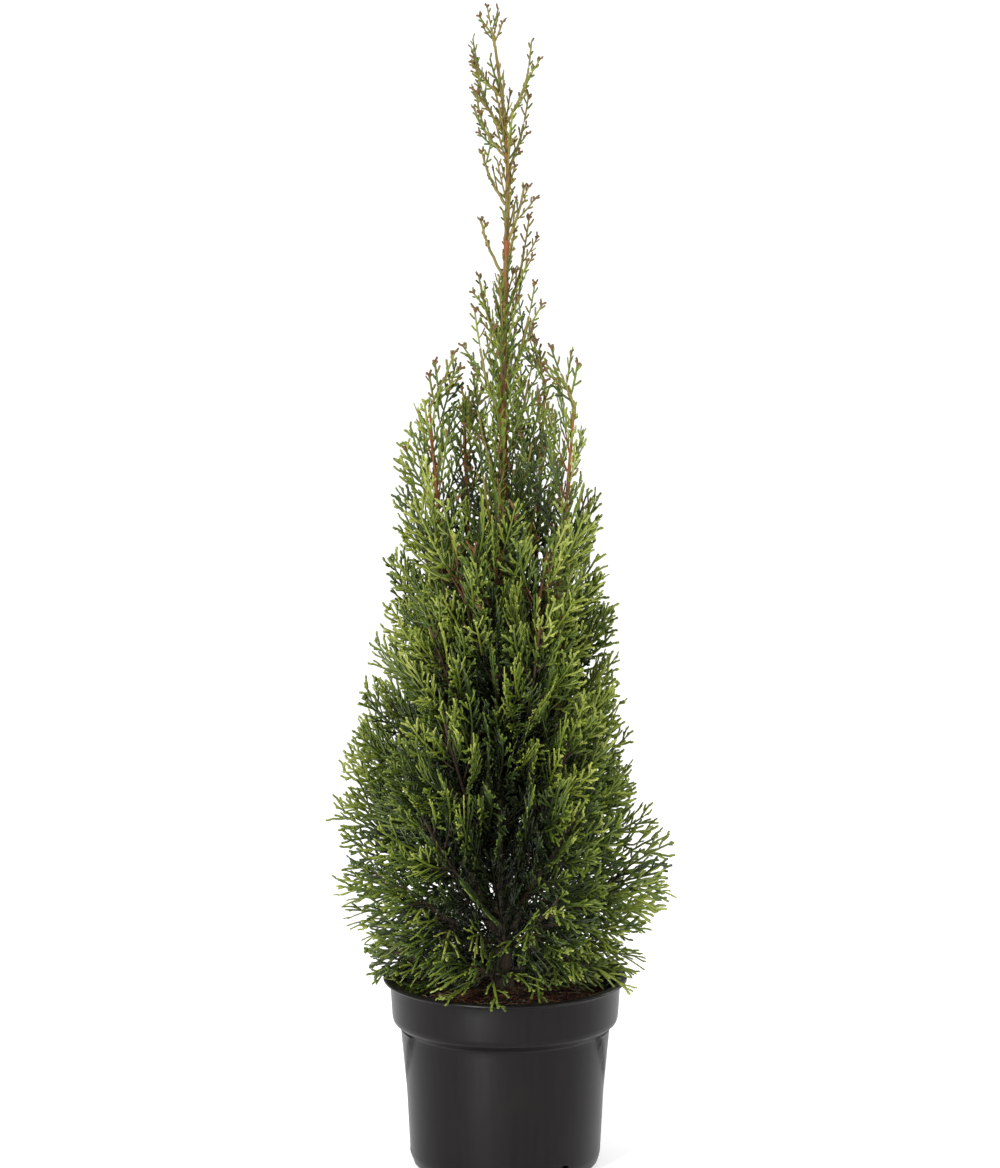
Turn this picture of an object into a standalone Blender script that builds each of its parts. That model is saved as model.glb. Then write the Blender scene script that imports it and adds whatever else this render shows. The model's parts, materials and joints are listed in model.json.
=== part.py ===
"""Potted thuja: a young emerald thuja in a round nursery pot with a wide collar.

Metres, +Z up. The origin is the centre of the pot's flat underside. The plant's front looks to -Y.
Heights on the plant are measured up from the soil at the trunk's foot.
"""

import functools
import math
import random

import bpy
import numpy as np

# Pot
POT_HEIGHT = 0.148
POT_SIDES = 36
RIM_RADIUS = 0.095
COLLAR_TOP_RADIUS = 0.0896
COLLAR_FOOT_RADIUS = 0.0877
COLLAR_DEPTH = 0.0335
BODY_TOP_RADIUS = 0.0792
BODY_FOOT_RADIUS = 0.0743
BODY_FOOT = 0.009
STEP_DEPTH = 0.0065
FOOT_RADIUS = 0.0690
WALL = 0.0018
FLOOR = 0.003
LIP_THICKNESS = 0.0022
LUG_OUT = 0.0022
LUG_LENGTH = 0.050
LUG_HALF_ANGLE = math.radians(24)
ARCH_COUNT = 6
ARCH_FIRST = math.radians(-52)
ARCH_HALF_WIDTH = 0.006
ARCH_HEIGHT = 0.0085

# Soil
SOIL_DEPTH = 0.009
SOIL_FALL = 0.004
SOIL_CROWN_RADIUS = 0.022
SOIL_CLEAR = 0.0004

# Trunk
GAP = 0.0003
TRUNK_HEIGHT = 0.722
TRUNK_FOOT_RADIUS = 0.0064
TRUNK_TIP_RADIUS = 0.0010
TRUNK_TAPER = 1.05
FLARE_OUT = 0.0042
FLARE_HEIGHT = 0.009
TRUNK_FOOT_X = -0.002
TRUNK_LEAN_X = -0.0125
TRUNK_LEAN_FROM = 0.635
TRUNK_LEAN_RUN = 0.12
TRUNK_SWAY = 0.0022
TRUNK_SIDES = 10
TRUNK_STEPS = 16

# Boughs: name, azimuth, height where it leaves the trunk, reach, height of its end, height of its foliage
BOUGHS = (
    ("left", 197, 0.045, 0.046, 0.310, 0.452),
    ("right", 339, 0.046, 0.046, 0.320, 0.455),
    ("front", 264, 0.076, 0.038, 0.215, 0.345),
    ("back_left", 123, 0.075, 0.044, 0.285, 0.430),
    ("back_right", 53, 0.045, 0.042, 0.320, 0.465),
)
BOUGH_BOW = 3.2
BOUGH_FOOT_RADIUS = 0.0032
BOUGH_END_RADIUS = 0.0022
BOUGH_SIDES = 6
BOUGH_STEPS = 7

# Tiers of side masses: count, first azimuth, foot height, reach of the stem, its rise, blade length
TIERS = (
    (6, 18, 0.014, 0.078, 0.022, 0.075),
    (6, 350, 0.031, 0.097, 0.056, 0.086),
    (5, 19, 0.061, 0.100, 0.092, 0.091),
    (5, 24, 0.100, 0.088, 0.124, 0.091),
    (5, 12, 0.150, 0.078, 0.140, 0.086),
    (5, 20, 0.214, 0.066, 0.140, 0.078),
)
TIER_CURVE = 1.25
TIER_BLADES = 6
BOUGH_BLADE = 0.060
BOUGH_BLADES = 7
SPINE_RADIUS = 0.0018
SPINE_TIP_RADIUS = 0.0009
SPINE_STEPS = 4

# A blade is a toothed spray: bare stalk, then segments with a finger on each side
BLADE_TEETH = 3
BLADE_THICKNESS = 0.0019
BLADE_WIDTH = 0.0036
BLADE_SIZES = {"tier": 1.0, "bough": 0.95, "lateral": 0.7}
STALK_SHARE = 0.28
FINGER_SHARE = 0.42
FINGER_ANGLE = math.radians(36)
BLADE_CLEAR = 0.0014

# A dense mass has a spindle-shaped core round its stem, as wide as its space lets it be
CORE_STATIONS = (0.26, 0.48, 0.74, 0.92)
CORE_SHARES = (0.75, 1.0, 1.0, 0.7)
CORE_SIDES = 6
CORE_RADII = {"tier": 0.026, "bough": 0.015}
CORE_LEAST = 0.0025
CORE_INSIDE = 0.021
CORE_CLEAR = 0.0030

# The foliage's reach from the middle: straight lines against height, widest at CROWN_HEIGHT
CROWN_X = -0.004
CROWN_HEIGHT = 0.08
CROWN_REACH = 0.138
CROWN_BELOW = 0.35
CROWN_ABOVE = 0.180

# Laterals of the bare leader: how many, first and last height, length at each end
LATERAL_COUNT = 14
LATERAL_FIRST = 0.310
LATERAL_LAST = 0.660
LATERAL_LENGTHS = (0.080, 0.036)
LATERAL_BLADES = 5
LATERAL_OUT = (0.24, 0.44)
LATERAL_RADIUS = 0.0012
GOLDEN_ANGLE = math.radians(137.5)

# Growth: shoots turn to this elevation, which rises with height
GROWTH_TOP = math.radians(72)
GROWTH_SPAN = math.radians(86)
GROWTH_HEIGHT = 0.13

# A side mass whose stem would pass this near a bough is turned aside, the least turn first
BOUGH_CLEAR = 0.0056
TURNS_ASIDE = (0, 5, -5, 10, -10, 15, -15, 20, -20)

# A blade this near its own root is only tested against the limbs
ROOT_FREE = 0.006
OWN_MARGIN = 0.0024
# A blade that doesn't fit is set again with another roll, and shorter each time
SHRINKS = (1.0, 1.0, 0.9, 0.9, 0.8, 0.8, 0.7, 0.7, 0.6, 0.6, 0.5)
LIMB_CLEAR = 0.0008
SEED = 11

SOIL_Z = POT_HEIGHT - SOIL_DEPTH
UP = np.array((0.0, 0.0, 1.0))


def clear_scene():
    for obj in list(bpy.data.objects):
        bpy.data.objects.remove(obj, do_unlink=True)


def finish(name, colour, roughness):
    """A plain Principled material."""
    material = bpy.data.materials.new(name)
    material.use_nodes = True
    shader = material.node_tree.nodes["Principled BSDF"]
    shader.inputs["Base Color"].default_value = (*colour, 1.0)
    shader.inputs["Roughness"].default_value = roughness
    shader.inputs["Metallic"].default_value = 0.0
    return material


def new_object(name, verts, faces, material=None, at=(0.0, 0.0, 0.0), collection=None):
    """A mesh object from world-space corners, with its origin at the given place."""
    mesh = bpy.data.meshes.new(name)
    mesh.from_pydata((np.asarray(verts, float) - np.asarray(at)).tolist(), [], faces)
    mesh.update()
    if material:
        mesh.materials.append(material)
    obj = bpy.data.objects.new(name, mesh)
    obj.location = at
    (collection or bpy.context.scene.collection).objects.link(obj)
    return obj


def smooth(obj):
    """Smooth shading, with edges over 40 degrees kept sharp."""
    mesh = obj.data
    mesh.polygons.foreach_set("use_smooth", [True] * len(mesh.polygons))
    mesh.set_sharp_from_angle(angle=math.radians(40))


def unit(v):
    return v / max(np.linalg.norm(v), 1e-12)


def turned(v, axis, angle):
    """v turned about a unit axis by angle."""
    kept = axis * (axis @ v)
    return kept + (v - kept) * math.cos(angle) + np.cross(axis, v) * math.sin(angle)


def bearing(azimuth):
    return np.array((math.cos(azimuth), math.sin(azimuth), 0.0))


# Pot and soil


def lug_push(angle, z):
    """How far the outer wall stands out at the two wedge lugs under the collar, one on each side."""
    body_top = POT_HEIGHT - COLLAR_DEPTH - STEP_DEPTH
    down = (body_top - z) / LUG_LENGTH
    if not 0 <= down < 1:
        return 0.0
    aside = min(abs(math.remainder(angle, math.tau)), abs(math.remainder(angle - math.pi, math.tau)))
    half = LUG_HALF_ANGLE * (1 - down) + math.radians(4)
    return LUG_OUT * (1 - down) if aside < half else 0.0


def outer_profile():
    collar_foot = POT_HEIGHT - COLLAR_DEPTH
    body_top = collar_foot - STEP_DEPTH
    points = [(FOOT_RADIUS, 0.0), (FOOT_RADIUS + 0.0034, 0.0022), (BODY_FOOT_RADIUS, BODY_FOOT)]
    for share in (0.48, 0.72, 0.97):
        z = BODY_FOOT + (body_top - BODY_FOOT) * share
        points.append((BODY_FOOT_RADIUS + (BODY_TOP_RADIUS - BODY_FOOT_RADIUS) * share, z))
    points.append((BODY_TOP_RADIUS, body_top))
    points.append((COLLAR_FOOT_RADIUS - 0.0015, collar_foot - 0.0012))
    points.append((COLLAR_FOOT_RADIUS, collar_foot + 0.001))
    points.append((COLLAR_TOP_RADIUS, POT_HEIGHT - LIP_THICKNESS - 0.002))
    points.append((RIM_RADIUS - 0.001, POT_HEIGHT - LIP_THICKNESS))
    points.append((RIM_RADIUS, POT_HEIGHT - 0.001))
    points.append((RIM_RADIUS - 0.001, POT_HEIGHT))
    return points


def inner_profile():
    """The inside of the wall, from the top down to the floor."""
    collar_foot = POT_HEIGHT - COLLAR_DEPTH
    return [
        (COLLAR_TOP_RADIUS - WALL, POT_HEIGHT),
        (COLLAR_FOOT_RADIUS - WALL, collar_foot + WALL),
        (BODY_TOP_RADIUS - WALL, collar_foot - STEP_DEPTH + WALL),
        (BODY_FOOT_RADIUS - WALL, BODY_FOOT),
        (FOOT_RADIUS - WALL, FLOOR),
    ]


def lathe(profile, with_lugs=0):
    """Rings of the profile round +Z, closed flat at each end. The first with_lugs rings have the lugs."""
    verts = []
    for row, (radius, z) in enumerate(profile):
        for k in range(POT_SIDES):
            angle = math.tau * k / POT_SIDES
            out = radius + (lug_push(angle, z) if row < with_lugs else 0.0)
            verts.append((out * math.cos(angle), out * math.sin(angle), z))
    faces = [list(reversed(range(POT_SIDES)))]
    for row in range(len(profile) - 1):
        for k in range(POT_SIDES):
            a = row * POT_SIDES + k
            b = row * POT_SIDES + (k + 1) % POT_SIDES
            faces.append((a, b, b + POT_SIDES, a + POT_SIDES))
    last = (len(profile) - 1) * POT_SIDES
    faces.append(list(range(last, last + POT_SIDES)))
    return verts, faces


def make_pot(material):
    outer = outer_profile()
    verts, faces = lathe(outer + inner_profile(), with_lugs=len(outer))
    pot = new_object("pot", verts, faces, material)
    for k in range(ARCH_COUNT):
        cut_arch(pot, ARCH_FIRST + math.tau * k / ARCH_COUNT)
    smooth(pot)
    return pot


def cut_arch(pot, azimuth):
    """One drainage arch through the foot of the wall."""
    sides = 8
    section = []
    for k in range(sides + 1):
        angle = math.pi * k / sides
        section.append((ARCH_HALF_WIDTH * math.cos(angle), ARCH_HEIGHT * math.sin(angle)))
    section = [(ARCH_HALF_WIDTH, -0.004), *section, (-ARCH_HALF_WIDTH, -0.004)]
    out, side = bearing(azimuth), bearing(azimuth + math.pi / 2)
    verts = []
    for radius in (FOOT_RADIUS - 0.008, BODY_FOOT_RADIUS + 0.010):
        verts += [out * radius + side * across + UP * up for across, up in section]
    count = len(section)
    faces = [list(reversed(range(count))), list(range(count, 2 * count))]
    for k in range(count):
        m = (k + 1) % count
        faces.append((k, m, m + count, k + count))
    cutter = new_object("arch_cutter", verts, faces)
    cut = pot.modifiers.new("arch", "BOOLEAN")
    cut.operation = "DIFFERENCE"
    cut.solver = "EXACT"
    cut.object = cutter
    apply_modifiers(pot)
    bpy.data.objects.remove(cutter, do_unlink=True)


def make_soil(material):
    wall = [(radius - SOIL_CLEAR, z) for radius, z in inner_profile()]
    edge_z = SOIL_Z - SOIL_FALL
    top_radius, top_z = wall[0]
    next_radius, next_z = wall[1]
    share = (top_z - edge_z) / (top_z - next_z)
    edge = (top_radius + (next_radius - top_radius) * share, edge_z)
    floor_radius, floor_z = wall[-1]
    foot = (floor_radius, floor_z + SOIL_CLEAR)
    verts, faces = lathe([foot, *reversed(wall[1:-1]), edge, (SOIL_CROWN_RADIUS, SOIL_Z)])
    soil = new_object("soil", verts, faces, material, at=(0.0, 0.0, SOIL_Z))
    smooth(soil)
    return soil


def apply_modifiers(obj):
    bpy.context.view_layer.update()
    graph = bpy.context.evaluated_depsgraph_get()
    mesh = bpy.data.meshes.new_from_object(obj.evaluated_get(graph), depsgraph=graph)
    obj.modifiers.clear()
    obj.data = mesh


# Limbs


def trunk_curve(height):
    """The trunk's true centreline and radius: a slight S, and near the tip a lean to the left that grows."""
    t = height / TRUNK_HEIGHT
    lean = max(0.0, (height - TRUNK_LEAN_FROM) / TRUNK_LEAN_RUN) ** 1.3
    sway = TRUNK_SWAY * math.sin(math.tau * 1.75 * t - 1.9) * t
    x = TRUNK_FOOT_X * (1 - t) ** 2 + sway + TRUNK_LEAN_X * lean
    y = TRUNK_SWAY * math.sin(math.pi * 2.3 * t + 0.6) * t
    taper = TRUNK_TIP_RADIUS + (TRUNK_FOOT_RADIUS - TRUNK_TIP_RADIUS) * (1 - t) ** TRUNK_TAPER
    return x, y, taper + FLARE_OUT * math.exp(-height / FLARE_HEIGHT)


@functools.lru_cache
def trunk_table():
    """Heights of the trunk's sections, with the centreline and radius at each."""
    heights = [GAP, 0.004, 0.010, 0.022]
    heights += [TRUNK_HEIGHT * k / TRUNK_STEPS for k in range(1, TRUNK_STEPS + 1)]
    return np.array(heights), np.array([trunk_curve(h) for h in heights])


def trunk_point(height):
    """The centre of the trunk as built, straight from section to section."""
    heights, curve = trunk_table()
    x, y = (np.interp(height, heights, curve[:, axis]) for axis in (0, 1))
    return np.array((x, y, SOIL_Z + height))


def trunk_radius(height):
    heights, curve = trunk_table()
    return np.interp(height, heights, curve[:, 2])


def bough_point(bough, u):
    """The centreline of a bough: it bows out from the trunk, then stands upright."""
    _, azimuth, foot, reach, end, _ = bough
    height = foot + (end - foot) * u
    start = trunk_point(foot)
    out = bearing(math.radians(azimuth))
    root = trunk_radius(foot) + GAP
    across = root + (reach - root) * (1 - (1 - u) ** BOUGH_BOW)
    point = start + out * across
    point[2] = SOIL_Z + height
    return point


def bough_radius(u):
    return BOUGH_FOOT_RADIUS + (BOUGH_END_RADIUS - BOUGH_FOOT_RADIUS) * u


def tube(points, radii, sides, foot, across):
    """A closed tube along points. Its first ring faces along foot, with a corner towards across."""
    points = [np.asarray(p, float) for p in points]
    verts, count = [], len(points)
    for i, point in enumerate(points):
        along = unit(points[min(i + 1, count - 1)] - points[max(i - 1, 0)]) if i else foot
        across = unit(across - along * (across @ along))
        aside = np.cross(along, across)
        for k in range(sides):
            angle = math.tau * k / sides
            verts.append(point + (across * math.cos(angle) + aside * math.sin(angle)) * radii[i])
    faces = [list(reversed(range(sides)))]
    for i in range(count - 1):
        for k in range(sides):
            a, b = i * sides + k, i * sides + (k + 1) % sides
            faces.append((a, b, b + sides, a + sides))
    faces.append(list(range((count - 1) * sides, count * sides)))
    return verts, faces


def make_trunk(material):
    heights = trunk_table()[0]
    points = [trunk_point(h) for h in heights]
    radii = [trunk_radius(h) for h in heights]
    verts, faces = tube(points, radii, TRUNK_SIDES, UP, bearing(0.0))
    trunk = new_object("trunk", verts, faces, material, at=points[0])
    smooth(trunk)
    return trunk


def make_bough(bough, material):
    steps = [k / BOUGH_STEPS for k in range(BOUGH_STEPS + 1)]
    steps.insert(1, 0.04)
    points = [bough_point(bough, u) for u in steps]
    out = bearing(math.radians(bough[1]))
    verts, faces = tube(points, [bough_radius(u) for u in steps], BOUGH_SIDES, out, np.cross(UP, out))
    limb = new_object("bough_" + bough[0], verts, faces, material, at=points[0])
    smooth(limb)
    return limb


def limb_samples():
    """Points along every limb with its radius there, for testing that foliage stays clear."""
    rows = [(*trunk_point(h), trunk_radius(h)) for h in np.arange(0.0, TRUNK_HEIGHT, 0.003)]
    for bough in BOUGHS:
        rows += [(*bough_point(bough, u), bough_radius(u)) for u in np.linspace(0, 1, 90)]
    rows = np.array(rows)
    return rows[:, :3], rows[:, 3]


# Foliage masses


def growth_direction(point, centre):
    """Where a shoot at this point turns to: outward, and steeper with height."""
    height = max(0.0, point[2] - SOIL_Z)
    elevation = GROWTH_TOP - GROWTH_SPAN * math.exp(-height / GROWTH_HEIGHT)
    out = point - centre
    out[2] = 0.0
    return unit(out) * math.cos(elevation) + UP * math.sin(elevation)


def crown_depth(points):
    """How far each point is inside the crown's reach at its height."""
    above = points[:, 2] - SOIL_Z - CROWN_HEIGHT
    reach = CROWN_REACH - np.where(above > 0, CROWN_ABOVE * above, -CROWN_BELOW * above)
    return reach - np.hypot(points[:, 0] - CROWN_X, points[:, 1])


def bough_samples():
    """Points along every bough."""
    return np.array([bough_point(bough, u) for bough in BOUGHS for u in np.linspace(0, 1, 90)])


class Mass:
    """One mass of foliage: its stem's centreline, and how its blades are set."""

    def __init__(self, name, spine, foot, kind, blade_length, blades, seed):
        self.name = name
        self.spine = np.array(spine)
        self.foot = foot
        self.kind = kind
        self.blade_length = blade_length
        self.blades = blades
        self.seed = seed

    def at(self, u):
        place = u * (len(self.spine) - 1)
        i = min(int(place), len(self.spine) - 2)
        return self.spine[i] + (self.spine[i + 1] - self.spine[i]) * (place - i)

    def tangent(self, u):
        return unit(self.at(min(1.0, u + 0.06)) - self.at(max(0.0, u - 0.06)))

    def radius(self, u):
        full = LATERAL_RADIUS if self.kind == "lateral" else SPINE_RADIUS
        return full + (SPINE_TIP_RADIUS - full) * u


def tier_spine(azimuth, sway, height, far, rise):
    """The centreline of a side mass's stem: outward from the trunk, curving upward."""
    root = trunk_radius(height) + GAP
    spine = []
    for u in np.linspace(0, 1, SPINE_STEPS + 1):
        out = bearing(azimuth + sway * u * u)
        point = trunk_point(height) + out * (root + (far - root) * u)
        point[2] += rise * u**TIER_CURVE
        spine.append(point)
    return np.array(spine)


def tier_masses():
    masses = []
    boughs = bough_samples()
    for tier, (count, first, foot, reach, rise, blade_length) in enumerate(TIERS, start=1):
        for k in range(count):
            rng = random.Random(SEED + 100 * tier + k)
            azimuth = math.radians(first + 360 * k / count + rng.uniform(-7, 7))
            height = foot + rng.uniform(-0.006, 0.006)
            far = reach * rng.uniform(0.95, 1.05) + CROWN_X * math.cos(azimuth)
            sway = rng.uniform(-0.12, 0.12)
            for aside in TURNS_ASIDE:
                spine = tier_spine(azimuth + math.radians(aside), sway, height, far, rise)
                steps = spine[1:] - spine[:-1]
                along = np.concatenate([spine[:-1] + steps * s for s in (0, 0.25, 0.5, 0.75)])
                if nearest(along, boughs).min() > BOUGH_CLEAR:
                    break
            foot_facing = unit(spine[0] - trunk_point(height))
            name = f"foliage_{tier}_{k + 1}"
            masses.append(Mass(name, spine, foot_facing, "tier", blade_length, TIER_BLADES, rng.random()))
    return masses


def bough_masses():
    masses = []
    for number, bough in enumerate(BOUGHS):
        name, azimuth, _, _, end, tip = bough
        rng = random.Random(SEED + 900 + number)
        start = bough_point(bough, 1.0) + UP * GAP
        lean = bearing(math.radians(azimuth)) * 0.012
        spine = [start + UP * (tip - end) * u + lean * u for u in np.linspace(0, 1, SPINE_STEPS + 1)]
        name = f"foliage_bough_{name}"
        masses.append(Mass(name, spine, UP, "bough", BOUGH_BLADE, BOUGH_BLADES, rng.random()))
    return masses


def lateral_masses():
    masses = []
    for k in range(LATERAL_COUNT):
        rng = random.Random(SEED + 1200 + k)
        share = k / (LATERAL_COUNT - 1)
        height = LATERAL_FIRST + (LATERAL_LAST - LATERAL_FIRST) * share
        length = LATERAL_LENGTHS[0] + (LATERAL_LENGTHS[1] - LATERAL_LENGTHS[0]) * share
        azimuth = math.pi * (k % 2) + math.radians(38) * math.sin(1.7 * k) + rng.uniform(-0.2, 0.2)
        out = bearing(azimuth)
        spread = LATERAL_OUT[0] + (LATERAL_OUT[1] - LATERAL_OUT[0]) * share**2
        root = trunk_radius(height) + GAP
        spine = []
        for u in np.linspace(0, 1, 4):
            across = root + length * spread * (1 - (1 - u) ** 1.4)
            spine.append(trunk_point(height) + out * across + UP * length * 0.84 * u)
        blade_length = 0.042 - 0.016 * share
        name = f"foliage_lateral_{k + 1}"
        masses.append(Mass(name, spine, out, "lateral", blade_length, LATERAL_BLADES, rng.random()))
    top = trunk_point(TRUNK_HEIGHT) + UP * GAP
    lean = np.array((-0.0035, 0.0, 0.016))
    spine = [top + lean * u for u in np.linspace(0, 1, 3)]
    masses.append(Mass("foliage_tip", spine, UP, "lateral", 0.016, 3, 0.5))
    return masses


def outward(verts, faces):
    """The faces turned so that they all point out of the closed shape."""
    volume = 0.0
    for face in faces:
        for k in range(1, len(face) - 1):
            volume += verts[face[0]] @ np.cross(verts[face[k]], verts[face[k + 1]])
    return faces if volume > 0 else [tuple(reversed(face)) for face in faces]


def blade_line(start, heading, turn_to, length):
    """The blade's axis: bare stalk first, then the toothed part, turning as it goes."""
    shares = [0.0] + [STALK_SHARE + (1 - STALK_SHARE) * k / BLADE_TEETH for k in range(BLADE_TEETH + 1)]
    places, directions = [np.array(start, float)], []
    for i, share in enumerate(shares):
        directions.append(unit(heading * (1 - 0.85 * share) + turn_to * 0.85 * share))
        if i + 1 < len(shares):
            places.append(places[-1] + directions[-1] * length * (shares[i + 1] - share))
    return places, directions


def blade_sections(places, directions, normal, size):
    """Two edges and a ridge at each station along the axis, then the tip."""
    verts = []
    for i, (place, along) in enumerate(zip(places[:-1], directions[:-1])):
        side = unit(np.cross(normal, along))
        wide = BLADE_WIDTH * size * (0.30 if i == 0 else 0.56 - 0.07 * i)
        low = -normal * BLADE_THICKNESS * size * 0.5
        verts += [place + side * wide + low, place - side * wide + low, place - low]
    return [*verts, places[-1]]


def slopes_at(i, tip):
    """The underside and the two slopes of the i-th segment, as corner numbers."""
    left, right, ridge = 3 * i, 3 * i + 1, 3 * i + 2
    if i == BLADE_TEETH:
        return (left, right, tip), [(left, tip, ridge), (right, ridge, tip)]
    slopes = [(left, left + 3, ridge + 3, ridge), (right, ridge, ridge + 3, right + 3)]
    return (left, right, right + 3, left + 3), slopes


def blade(start, heading, turn_to, roll, length, size):
    """A flat spray: a ridged axis with a pair of pointed fingers on each segment past the bare stalk.

    The axis starts at start, points along heading and turns towards turn_to. roll turns its plane.
    A finger is a spike on the slope between an edge and the ridge.
    """
    flat_up = UP if abs(heading[2]) < 0.93 else unit(np.array((heading[1], -heading[0], 0.2)))
    lateral = turned(unit(flat_up - heading * (flat_up @ heading)), heading, roll)
    normal = np.cross(heading, lateral)
    places, directions = blade_line(start, heading, turn_to, length)
    verts = blade_sections(places, directions, normal, size)
    tip = len(verts) - 1
    faces = [(0, 2, 1)]
    segment = length * (1 - STALK_SHARE) / BLADE_TEETH
    for i in range(BLADE_TEETH + 1):
        underside, slopes = slopes_at(i, tip)
        faces.append(underside)
        if i == 0:
            faces += slopes
            continue
        side = unit(np.cross(normal, directions[i]))
        share = (i - 1) / (BLADE_TEETH - 1)
        finger = length * FINGER_SHARE * (0.70 + 0.75 * share - 1.15 * share * share)
        for sign, slope in ((1, slopes[0]), (-1, slopes[1])):
            reach = directions[i] * math.cos(FINGER_ANGLE) + side * sign * math.sin(FINGER_ANGLE)
            spike = len(verts)
            verts.append(places[i] + directions[i] * segment * (0.5 + 0.25 * sign) + reach * finger)
            faces += [(slope[k], slope[(k + 1) % len(slope)], spike) for k in range(len(slope))]
    verts = np.array(verts)
    return verts, outward(verts, faces)


def edge_points(verts, faces):
    """Points spread along the edges of a mesh, to test where it reaches."""
    ends = {tuple(sorted((face[k], face[(k + 1) % len(face)]))) for face in faces for k in range(len(face))}
    ends = np.array(sorted(ends))
    shares = np.linspace(0, 1, 6)[:, None, None]
    return (verts[ends[:, 0]] * (1 - shares) + verts[ends[:, 1]] * shares).reshape(-1, 3)


def distances(points, targets):
    """Every point's distance to every target: squares summed, less twice the product."""
    squares = (points**2).sum(axis=1)[:, None] + (targets**2).sum(axis=1) - 2 * points @ targets.T
    return np.sqrt(np.maximum(squares, 0.0))


def nearest(points, targets):
    """For each point, its distance to the closest target."""
    return distances(points, targets).min(axis=1)


class Space:
    """Which mass each place belongs to: the one whose stem is nearest. Limbs, pot and soil stay clear."""

    def __init__(self, masses):
        self.spines = [np.array([m.at(u) for u in np.linspace(0, 1, 24)]) for m in masses]
        self.limbs, self.limb_radii = limb_samples()

    def room(self, number, points):
        """How far each point is inside the space of the numbered mass. Below zero, it is outside."""
        own = nearest(points, self.spines[number])
        low, high = points.min(axis=0) - 0.14, points.max(axis=0) + 0.14
        near = [
            s for k, s in enumerate(self.spines)
            if k != number and (s.max(axis=0) > low).all() and (s.min(axis=0) < high).all()
        ]
        room = np.full(len(points), 0.05)
        if near:
            room = nearest(points, np.concatenate(near)) - own
        room = np.minimum(room, self.off_limbs(points))
        radius = np.hypot(points[:, 0], points[:, 1])
        room = np.minimum(room, crown_depth(points) + OWN_MARGIN)
        floor = np.where(radius < COLLAR_FOOT_RADIUS - 0.004, SOIL_Z, POT_HEIGHT)
        floor = np.where(radius > RIM_RADIUS + 0.004, POT_HEIGHT - 0.03, floor)
        return np.minimum(room, points[:, 2] - floor)

    def off_limbs(self, points):
        """Each point's distance to the nearest limb's surface."""
        return (distances(points, self.limbs) - self.limb_radii).min(axis=1)

    def holds(self, number, points):
        if (self.room(number, points[::16]) < OWN_MARGIN).any():
            return False
        return (self.room(number, points) > OWN_MARGIN).all()


def core_reach(mass, number, space, u, turn, most):
    """How far out from the stem the mass has room, in one direction at one place."""
    place, along = mass.at(u), mass.tangent(u)
    across = unit(np.cross(along, UP)) if abs(along[2]) < 0.95 else np.array((1.0, 0.0, 0.0))
    direction = turned(across, along, turn)
    reach = np.arange(CORE_LEAST, most, 0.0015)
    trial = place + direction * reach[:, None]
    fits = (space.room(number, trial) > CORE_CLEAR) & (crown_depth(trial) > CORE_INSIDE)
    count = len(fits) if fits.all() else fits.argmin()
    return place, direction, reach[max(0, count - 1)]


def core(mass, number, space):
    """The dense mass's core: each corner stands out from the stem as far as there is room all round it."""
    verts, rings = [], []
    for u, share in zip(CORE_STATIONS, CORE_SHARES):
        rings.append(len(verts))
        for k in range(CORE_SIDES):
            turn = math.tau * k / CORE_SIDES
            around = [(u + du, turn + dt) for du in (0, -0.08, 0.08) for dt in (0, -0.4, 0.4)]
            most = CORE_RADII[mass.kind] * share
            found = [core_reach(mass, number, space, min(1.0, v), t, most) for v, t in around]
            place, direction, _ = found[0]
            verts.append(place + direction * min(reach for _, _, reach in found))
    faces = []
    for a in rings[:-1]:
        for k in range(CORE_SIDES):
            b = (k + 1) % CORE_SIDES
            faces.append((a + k, a + b, a + b + CORE_SIDES, a + k + CORE_SIDES))
    for ring, u in ((rings[0], CORE_STATIONS[0] - 0.14), (rings[-1], 0.99)):
        verts.append(mass.at(u))
        for k in range(CORE_SIDES):
            ends = (ring + k, ring + (k + 1) % CORE_SIDES)
            faces.append((*(reversed(ends) if ring == rings[0] else ends), len(verts) - 1))
    verts = np.array(verts)
    return verts, outward(verts, faces)


def blade_settings(mass, k, rng):
    """Place on the stem, heading, direction it turns to and roll of the mass's k-th blade."""
    last = k == mass.blades - 1
    share = k / max(1, mass.blades - 1)
    start = {"tier": 0.36, "bough": 0.06, "lateral": 0.22}[mass.kind]
    u = 1.0 if last else start + (0.96 - start) * share
    along = mass.tangent(u)
    aside = unit(np.cross(along, UP) if abs(along[2]) < 0.95 else np.array((1.0, 0.0, 0.0)))
    if mass.kind == "tier":
        around = (0, math.pi, 0.5 * math.pi)[k % 3] + rng.uniform(-0.5, 0.5)
        angle = math.radians(48 - 14 * share)
    else:
        around = GOLDEN_ANGLE * k + rng.uniform(-0.3, 0.3)
        angle = math.radians(34)
    if last:
        angle = 0.0
    side = turned(aside, along, around)
    heading = unit(along * math.cos(angle) + side * math.sin(angle))
    place = mass.at(u)
    if mass.kind == "tier":
        turn_to = growth_direction(place + heading * 0.02, trunk_point(place[2] - SOIL_Z))
    else:
        turn_to = unit(heading + UP * 0.9)
    return u, place, heading, turn_to, rng.uniform(-0.9, 0.9)


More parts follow.
